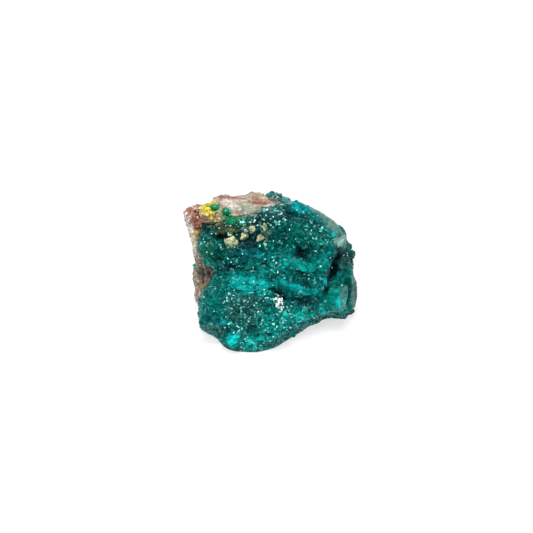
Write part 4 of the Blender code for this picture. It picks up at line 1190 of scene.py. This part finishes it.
# painted shadow in the notch of the rock
NOTCH_SHADE = np.array((0.020, 0.030, 0.026))
NOTCH_SHADOW = np.array((0.020, 0.022, 0.020))
ROCK_PATCHES = {  # colour and zone
    "red_lump": (ROSE, (-12.0, 8.6), (2.0, 2.5), 10, 0.90),
    "red_lump_core": (RED_BROWN, (-11.9, 8.3), (1.1, 1.7), 20, 0.65),
    "red_side": (RED_BROWN, (-11.0, 6.2), (0.7, 1.4), 0, 0.60),
    "maroon": (DARK_RED, (-11.5, 7.2), (0.5, 0.6), 0, 0.85),
    "lump_rim": (DARK_RED * 1.2, (-13.2, 9.6), (0.5, 1.0), -20, 0.60),
    "left_edge": (PALE * 1.1, (-12.7, 6.0), (0.6, 3.4), 12, 0.85),
    "upper_line": (RED_BROWN, (-6.2, 12.05), (2.5, 0.30), -6, 0.85),
    "upper_line_dark": (DARK_RED, (-5.3, 11.9), (1.1, 0.2), -4, 0.90),
    "upper_pink": (PINK, (-6.4, 11.6), (1.8, 0.5), 6, 0.60),
    "pale_band": (CREAM * 0.9, (-4.2, 11.0), (2.4, 0.7), -6, 0.70),
    "upper_white": (PALE * 1.05, (-6.2, 10.9), (1.7, 0.75), -16, 0.75),
    "white_line": (PALE * 1.1, (-3.2, 11.55), (2.4, 0.16), -2, 0.80),
    "brown_line": (RED_BROWN * 0.8, (-4.3, 10.75), (1.3, 0.14), -24, 0.60),
    "lower_green": (PALE_GREEN * 0.75, (-2.7, 10.0), (1.1, 0.35), 6, 0.75),
    "pale_green": (PALE_GREEN, (-3.7, 10.75), (1.2, 0.35), -6, 0.70),
    "middle_streak": (RED_BROWN * 1.3, (-1.4, 11.3), (2.2, 0.38), -6, 0.80),
    "middle_streak_core": (DARK_RED * 1.3, (-1.6, 11.2), (1.2, 0.2), -6, 0.60),
    "low_pale": (PALE, (0.3, 10.7), (2.4, 0.42), 20, 0.85),
    "low_band": (BAND_GREEN, (-3.2, 9.95), (2.2, 0.45), -4, 0.80),
    "yellow_pale": (YELLOW * 0.5 + PALE * 0.4, (-10.9, 10.2), (0.9, 0.7), 30, 0.70),
    "yellow": (YELLOW, (-9.7, 10.3), (1.25, 1.3), 10, 0.97),
    "yellow_low": (MUSTARD, (-8.9, 8.6), (1.5, 0.8), -10, 0.80),
    "strip_yellow": (YELLOW * 0.8, (-11.5, 5.4), (0.6, 1.3), 10, 0.45),
    "bead_halo": (HALO_GREEN, (-7.8, 9.8), (1.3, 0.8), -30, 0.75),
    "bead_foot": (LEAF_GREEN, (-6.6, 8.7), (1.0, 0.5), -30, 0.80),
    "notch": (GREY_BROWN, (-11.0, -0.6), (1.5, 1.8), 10, 0.80),
    "notch_edge": (CREAM * 0.8, (-11.9, -0.6), (0.4, 2.2), 0, 0.70),
    # painted shadow in the notch
    "notch_shadow": (NOTCH_SHADOW, (-9.7, -0.3), (0.35, 0.6), -10, 0.85),
    "notch_low_shadow": (NOTCH_SHADE, (-10.3, -2.9), (0.5, 0.4), 20, 0.90),
    "notch_white": (PALE, (-9.9, 1.3), (0.35, 0.3), 0, 0.80),
    "strip_rust": (RUST, (-11.2, 4.3), (0.35, 0.5), 0, 0.75),
    "notch_green": (GREY_GREEN * 0.6, (-11.0, 0.1), (0.7, 0.8), 0, 0.75),
    "notch_pink": (MAUVE, (-9.9, -0.9), (0.4, 0.6), 0, 0.80),
    "lower_strip": (MUSTARD * 0.5 + GREY_BROWN * 0.5, (-11.0, -1.9), (0.7, 0.9), 0, 0.60),
    "lower_end": (CREAM * 0.9, (-11.5, -4.2), (0.6, 1.4), 0, 0.60),
}
SMOOTH_ROCK = [((-2.6, 11.2), (6.4, 1.9), -4, 0.85)]  # where its relief is calm
ROCK_SWELL = [  # where the rock stands out a little more; strength is how far
    ((-7.8, 11.9), (1.5, 0.8), 0, 0.45),
    ((-2.2, 12.6), (0.9, 0.7), 0, 0.38),
]
GRAINY = [  # where the rock is grainy; strength is the share of grains kept
    ((-11.8, 8.2), (2.4, 3.0), 10, 1.0),
    ((-9.4, 9.4), (2.2, 1.8), 0, 0.6),
    ((-11.4, 4.6), (1.2, 2.6), 0, 0.7),
    ((-11.2, -2.0), (1.6, 4.0), 0, 0.5),
    ((-3.0, 11.2), (6.0, 1.6), 0, 0.15),
]
GRAINY_ELSEWHERE = 0.12
ROCK_VOXEL = 0.16
ROCK_LIFT = 0.12
ROCK_WIDE, ROCK_SMALL = (1.4, 4), (0.55, 5)  # size and seed of its lumps and of its grains
ROCK_WIDE_HEIGHT, ROCK_SMALL_HEIGHT, ROCK_FIELD_HEIGHT = 0.16, 0.32, 0.22
ROCK_WIDE_TONE, ROCK_SMALL_TONE, ROCK_FIELD_TONE = 0.2, 0.6, 0.3
ROCK_FIELD, ROCK_MOTTLE = (1.1, 9, 4), (0.35, 12, 2)  # size, seed and octaves
ROCK_GAP_START, ROCK_GAP_MOST, ROCK_GAP_SHADE = -0.06, 0.4, 4.0
GRAINY_TONE, GRAINY_GAPS = 0.6, 1.2  # how much stronger tones and gaps are where it is grainy
ROCK_RAGGED = ((0.6, 0.9, 4, 3), (0.5, 0.35, 7, 1))
ROCK_BROAD = (2.4, 6, 3)
ROCK_FRONT = (-12.0, -8.0)
BED_TILT = 0.12  # slope of the rock's bedding across the top band
BED_SWAY = 0.45
# how closely its red and pale beds follow each other, how wavy they are, where they set in and how strong
RED_PITCH, RED_WAVE, RED_SPAN, RED_SHARE = 4.6, 1.4, (0.72, 0.98), 0.40
PALE_PITCH, PALE_WAVE, PALE_SPAN, PALE_SHARE = 11.0, 2.2, (0.45, 0.95), 0.25
RED_BROKEN = 0.6  # share of the red beds that shows where the noise is nought
CREAM_SHARE, CREAM_SLOPE = 0.4, 0.9
PINK_SHARE, PINK_SPAN = 0.6, (0.3, 0.8)
GREY_SHARE, GREY_SPAN = 0.45, (0.2, 0.65)
JOINED = 0.4  # how far the one noise joins the other
ROCK_LEVEL = 0.82
ROCK_TONE = 0.9


def rock_colours(points, tone):
    places = to_face(points)
    ragged = ragged_noise(places, ROCK_RAGGED)
    broad = field(places, *ROCK_BROAD)
    bedding = places[:, 1] + BED_TILT * places[:, 0] + BED_SWAY * broad
    red_beds = smooth_step(*RED_SPAN, 0.5 + 0.5 * np.sin(bedding * RED_PITCH + RED_WAVE * ragged))
    pale_beds = smooth_step(*PALE_SPAN, np.sin(bedding * PALE_PITCH + PALE_WAVE * ragged))
    colours = np.tile(TAN, (len(points), 1))
    colours = mixed(colours, CREAM, CREAM_SHARE + CREAM_SLOPE * broad)
    colours = mixed(colours, PINK, PINK_SHARE * smooth_step(*PINK_SPAN, ragged + JOINED * broad))
    colours = mixed(colours, RED_BROWN, RED_SHARE * red_beds * np.clip(RED_BROKEN + ragged, 0, 1))
    colours = mixed(colours, PALE, PALE_SHARE * pale_beds)
    colours = mixed(colours, GREY_BROWN, GREY_SHARE * smooth_step(*GREY_SPAN, -broad + JOINED * ragged))
    on_face = smooth_step(*ROCK_FRONT, places[:, 2])
    colours = patched(colours, places, ragged, ROCK_PATCHES.values(), on_face)
    return np.clip(ROCK_LEVEL * colours * np.exp(ROCK_TONE * tone)[:, None], 0.0, BRIGHTEST)


def make_rock():
    piece = remeshed_copy("rock_mass", ROCK_VOXEL, "host_rock")
    mesh = piece.data
    points, normals = points_of(mesh), normals_of(mesh)
    places = to_face(points)
    rough, grainy = 1.0 - strongest(places, SMOOTH_ROCK), strongest(places, GRAINY)
    wide_height, wide_tone, _ = crystal_relief(points, *ROCK_WIDE)
    small_height, small_tone, _ = crystal_relief(points, *ROCK_SMALL)
    height = ROCK_WIDE_HEIGHT * wide_height + ROCK_SMALL_HEIGHT * small_height * rough
    height = height + ROCK_FIELD_HEIGHT * field(points, *ROCK_FIELD) + swollen(places, ROCK_SWELL)
    lifted(mesh, points, normals, ROCK_LIFT + near_base(points) * height)
    tone = (ROCK_WIDE_TONE * wide_tone + ROCK_SMALL_TONE * small_tone * rough) * (1.0 + GRAINY_TONE * grainy)
    tone = tone + ROCK_FIELD_TONE * field(points, *ROCK_MOTTLE)
    gaps = np.clip(ROCK_GAP_START - small_height, 0.0, ROCK_GAP_MOST) * (1.0 + GRAINY_GAPS * grainy) * rough
    paint(mesh, rock_colours(points, tone - ROCK_GAP_SHADE * gaps))
    smooth_faces(mesh)
    return piece


# ---- loose-looking grains on the rock ----
GRAIN_TRIES = 7000
GRAIN_RADII = (0.09, 0.32)
GRAIN_WIDTHS = (0.6, 1.3)  # in radii
GRAIN_SEAM = 0.2  # least distance from the crust
GRAIN_LEAN = 0.6
GRAIN_SUNK = 0.25  # depth of a grain's middle, in radii
GRAIN_TONE, GRAIN_TONES = (0.15, 0.45), (-1.0, 1.0)  # mean and spread, and ends
GRAIN_WHITE, GRAIN_WHITENESS = 0.22, 0.60  # share of them that are whitish, and how white


def rock_grain_shape():
    """A rounded block of 12 corners and 20 faces, radius about 1."""
    bm = bmesh.new()
    bmesh.ops.create_icosphere(bm, subdivisions=1, radius=1.0)
    points = np.array([vert.co[:] for vert in bm.verts])
    faces = [tuple(vert.index for vert in face.verts) for face in bm.faces]
    bm.free()
    return points, faces


def make_rock_grains(ground, crust_tree):
    spots, normals = scatter(ground, GRAIN_TRIES)
    share = np.maximum(strongest(to_face(spots), GRAINY), GRAINY_ELSEWHERE)
    kept = (DRAWS.random(len(spots)) < share) & (spots[:, 2] > BASE_CLEARANCE)
    spots, normals = chosen(kept, spots, normals)
    spots, normals = chosen(distances(crust_tree, spots) > GRAIN_SEAM, spots, normals)
    count = len(spots)
    frames = turned_about(unit(normals + GRAIN_LEAN * DRAWS.normal(size=(count, 3))))
    radius = GRAIN_RADII[0] + (GRAIN_RADII[1] - GRAIN_RADII[0]) * DRAWS.random(count) ** 2
    sizes = radius[:, None] * DRAWS.uniform(*GRAIN_WIDTHS, (count, 3))
    feet = spots - normals * (GRAIN_SUNK * radius)[:, None]
    colours = rock_colours(spots, np.clip(DRAWS.normal(*GRAIN_TONE, count), *GRAIN_TONES))
    white = DRAWS.random(count) < GRAIN_WHITE
    colours[white] = colours[white] * (1.0 - GRAIN_WHITENESS) + PALE * GRAIN_WHITENESS
    return joined_copies("rock_grains", rock_grain_shape(), feet, frames, sizes, colours)


# ---- cream grains and green beads ----
CREAM_NODES = [f"cream_grain_{number}" for number in range(1, 7)]
BEAD_NODES = ["green_bead_left", "green_bead_right", "green_bead_edge"]
GRAIN_YELLOW = np.array((0.41, 0.45, 0.20))
GRAIN_CREAM = np.array((0.66, 0.66, 0.46))
GRAIN_SHADE = np.array((0.16, 0.21, 0.10))
BEAD_GREEN = np.array((0.004, 0.270, 0.100))
BEAD_DARK = np.array((0.001, 0.085, 0.040))
BEAD_TEAL = np.array((0.010, 0.300, 0.200))
SMALL_VOXEL = 0.06
SMALL_LIFT = 0.05
SMALL_FACES, SMALL_FIELD = (0.6, 31), (0.6, 32, 3)
SMALL_FIELD_HEIGHT = 0.03
CREAM_HEIGHT, BEAD_HEIGHT = 0.30, 0.25  # height of their faces' relief
CREAM_SPOTS, BEAD_SPOTS = (0.5, 33, 3), (0.6, 34, 2)
# how far the spots and the faces' tones change the shares of the colours
GRAIN_CREAM_SHARE, CREAM_BY_SPOT, CREAM_BY_FACE = 0.5, 1.2, 0.6
SHADE_SPAN, SHADE_BY_FACE = (0.1, 0.5), 0.4
TEAL_SPAN, TEAL_BY_FACE = (0.1, 0.5), 0.25
DARK_SHARE, DARK_BY_SPOT = 0.45, 1.4
BEAD_TONE = 0.8


def make_small_pieces(name, nodes, height, colour_of):
    piece = remeshed_copy(name, SMALL_VOXEL, *nodes)
    mesh = piece.data
    points, normals = points_of(mesh), normals_of(mesh)
    heights, tones, _ = crystal_relief(points, *SMALL_FACES)
    lift = SMALL_LIFT + height * heights + SMALL_FIELD_HEIGHT * field(points, *SMALL_FIELD)
    points += normals * lift[:, None]
    set_points(mesh, points)
    paint(mesh, colour_of(points, tones))
    smooth_faces(mesh)
    return piece


def cream_colours(points, tones):
    spots = field(points, *CREAM_SPOTS)
    colours = np.tile(GRAIN_YELLOW, (len(points), 1))
    colours = mixed(colours, GRAIN_CREAM, GRAIN_CREAM_SHARE + CREAM_BY_SPOT * spots + CREAM_BY_FACE * tones)
    return mixed(colours, GRAIN_SHADE, smooth_step(*SHADE_SPAN, -spots - SHADE_BY_FACE * tones))


def bead_colours(points, tones):
    spots = field(points, *BEAD_SPOTS)
    colours = np.tile(BEAD_GREEN, (len(points), 1))
    colours = mixed(colours, BEAD_TEAL, smooth_step(*TEAL_SPAN, spots + TEAL_BY_FACE * tones))
    colours = mixed(colours, BEAD_DARK, DARK_SHARE - DARK_BY_SPOT * spots)
    return np.clip(colours * np.exp(BEAD_TONE * tones)[:, None], 0, 1)


# ---- camera, light and floor ----
FLOOR_HALF, FLOOR_DROP = 6.0, 0.00002  # half its side and its depth below the stone, in metres
FLOOR_GREY, FLOOR_GLOW = 0.35, 0.65
WORLD_LEVEL = 0.25
CLIP = (0.01, 20.0)  # in metres


def aimed(name, data, place, back):
    """A new object at this place whose own Z axis points this way back."""
    piece = new_object(name, data)
    piece.location = place
    piece.rotation_euler = back.to_track_quat("Z", "Y").to_euler()
    return piece


def make_camera():
    data = bpy.data.cameras.new("camera")
    data.lens = LENS
    data.sensor_width = SENSOR
    data.clip_start, data.clip_end = CLIP
    back = Vector((0, -math.cos(FACE_RISE), math.sin(FACE_RISE)))
    bpy.context.scene.camera = aimed("camera", data, CAMERA_PLACE, back)


def make_light(name, azimuth, elevation, distance, width, radiance):
    data = bpy.data.lights.new(name, "AREA")
    data.shape = "DISK"
    data.size = width
    data.energy = radiance * math.pi * math.pi * (width / 2) ** 2
    away = towards(azimuth, elevation)
    aimed(name, data, away * distance + LAMP_CENTRE, away)


def make_studio():
    floor_mesh = bpy.data.meshes.new("floor")
    bm = bmesh.new()
    bmesh.ops.create_grid(bm, x_segments=1, y_segments=1, size=FLOOR_HALF)
    bm.to_mesh(floor_mesh)
    bm.free()
    floor = new_object("floor", floor_mesh)
    floor.location.z = -FLOOR_DROP
    card = {
        "Base Color": (FLOOR_GREY, FLOOR_GREY, FLOOR_GREY, 1),
        "Roughness": 0.9,
        "IOR": 1.5,
        "Specular IOR Level": 0.0,
        "Emission Color": (1, 1, 1, 1),
        "Emission Strength": FLOOR_GLOW,
    }
    floor_mesh.materials.append(shaded(new_material("white_card"), card))
    for name, settings in LIGHTS.items():
        make_light(name, *settings)
    for number, spark in enumerate(SPARKS):
        make_light(f"spark_{number}", *spark, SPARK_DISTANCE, SPARK_WIDTH, SPARK_RADIANCE)
    world = bpy.data.worlds.new("studio")
    world.use_nodes = True
    background = world.node_tree.nodes["Background"]
    background.inputs["Color"].default_value = (1, 1, 1, 1)
    background.inputs["Strength"].default_value = WORLD_LEVEL
    bpy.context.scene.world = world
    bpy.context.scene.view_settings.view_transform = "Standard"


# ---- the stone ----
def finish_piece(piece, material, slot, *nodes):
    piece.data.materials.clear()
    piece.data.materials.append(material)
    piece.data.transform(Matrix.Scale(MM, 4))
    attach(piece, "root")
    if nodes:
        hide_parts(*nodes)


mass = make_mass()
rock = make_rock()
cream = make_small_pieces("cream_grains", CREAM_NODES, CREAM_HEIGHT, cream_colours)
beads = make_small_pieces("green_beads", BEAD_NODES, BEAD_HEIGHT, bead_colours)
rock_tree, crust_tree, grain_tree = tree_of(rock.data), tree_of(mass.data), tree_of(cream.data)
druse = [make_druse(name, mass.data, rock_tree, grain_tree) for name in DRUSE]
blocks = make_blocks(crust_tree)
glints = make_glints(crust_tree, rock_tree, grain_tree)
rock_grains = make_rock_grains(rock.data, crust_tree)

finish_piece(mass, stone("dioptase_mass_stone"), "dioptase", "dioptase_crust")
rock_stone, crystal = stone("matrix_rock"), stone("dioptase_crystal")
finish_piece(rock, rock_stone, "host_rock", "host_rock")
finish_piece(rock_grains, rock_stone, "host_rock")
finish_piece(cream, stone("cream_mineral_stone"), "cream_mineral", *CREAM_NODES)
finish_piece(beads, stone("green_mineral_stone"), "green_mineral", *BEAD_NODES)
for piece in druse:
    finish_piece(piece, crystal, "dioptase")
finish_piece(glints, stone("dioptase_cleaved"), "dioptase")
finish_piece(blocks, stone("dioptase_broken"), "dioptase")

make_camera()
make_studio()
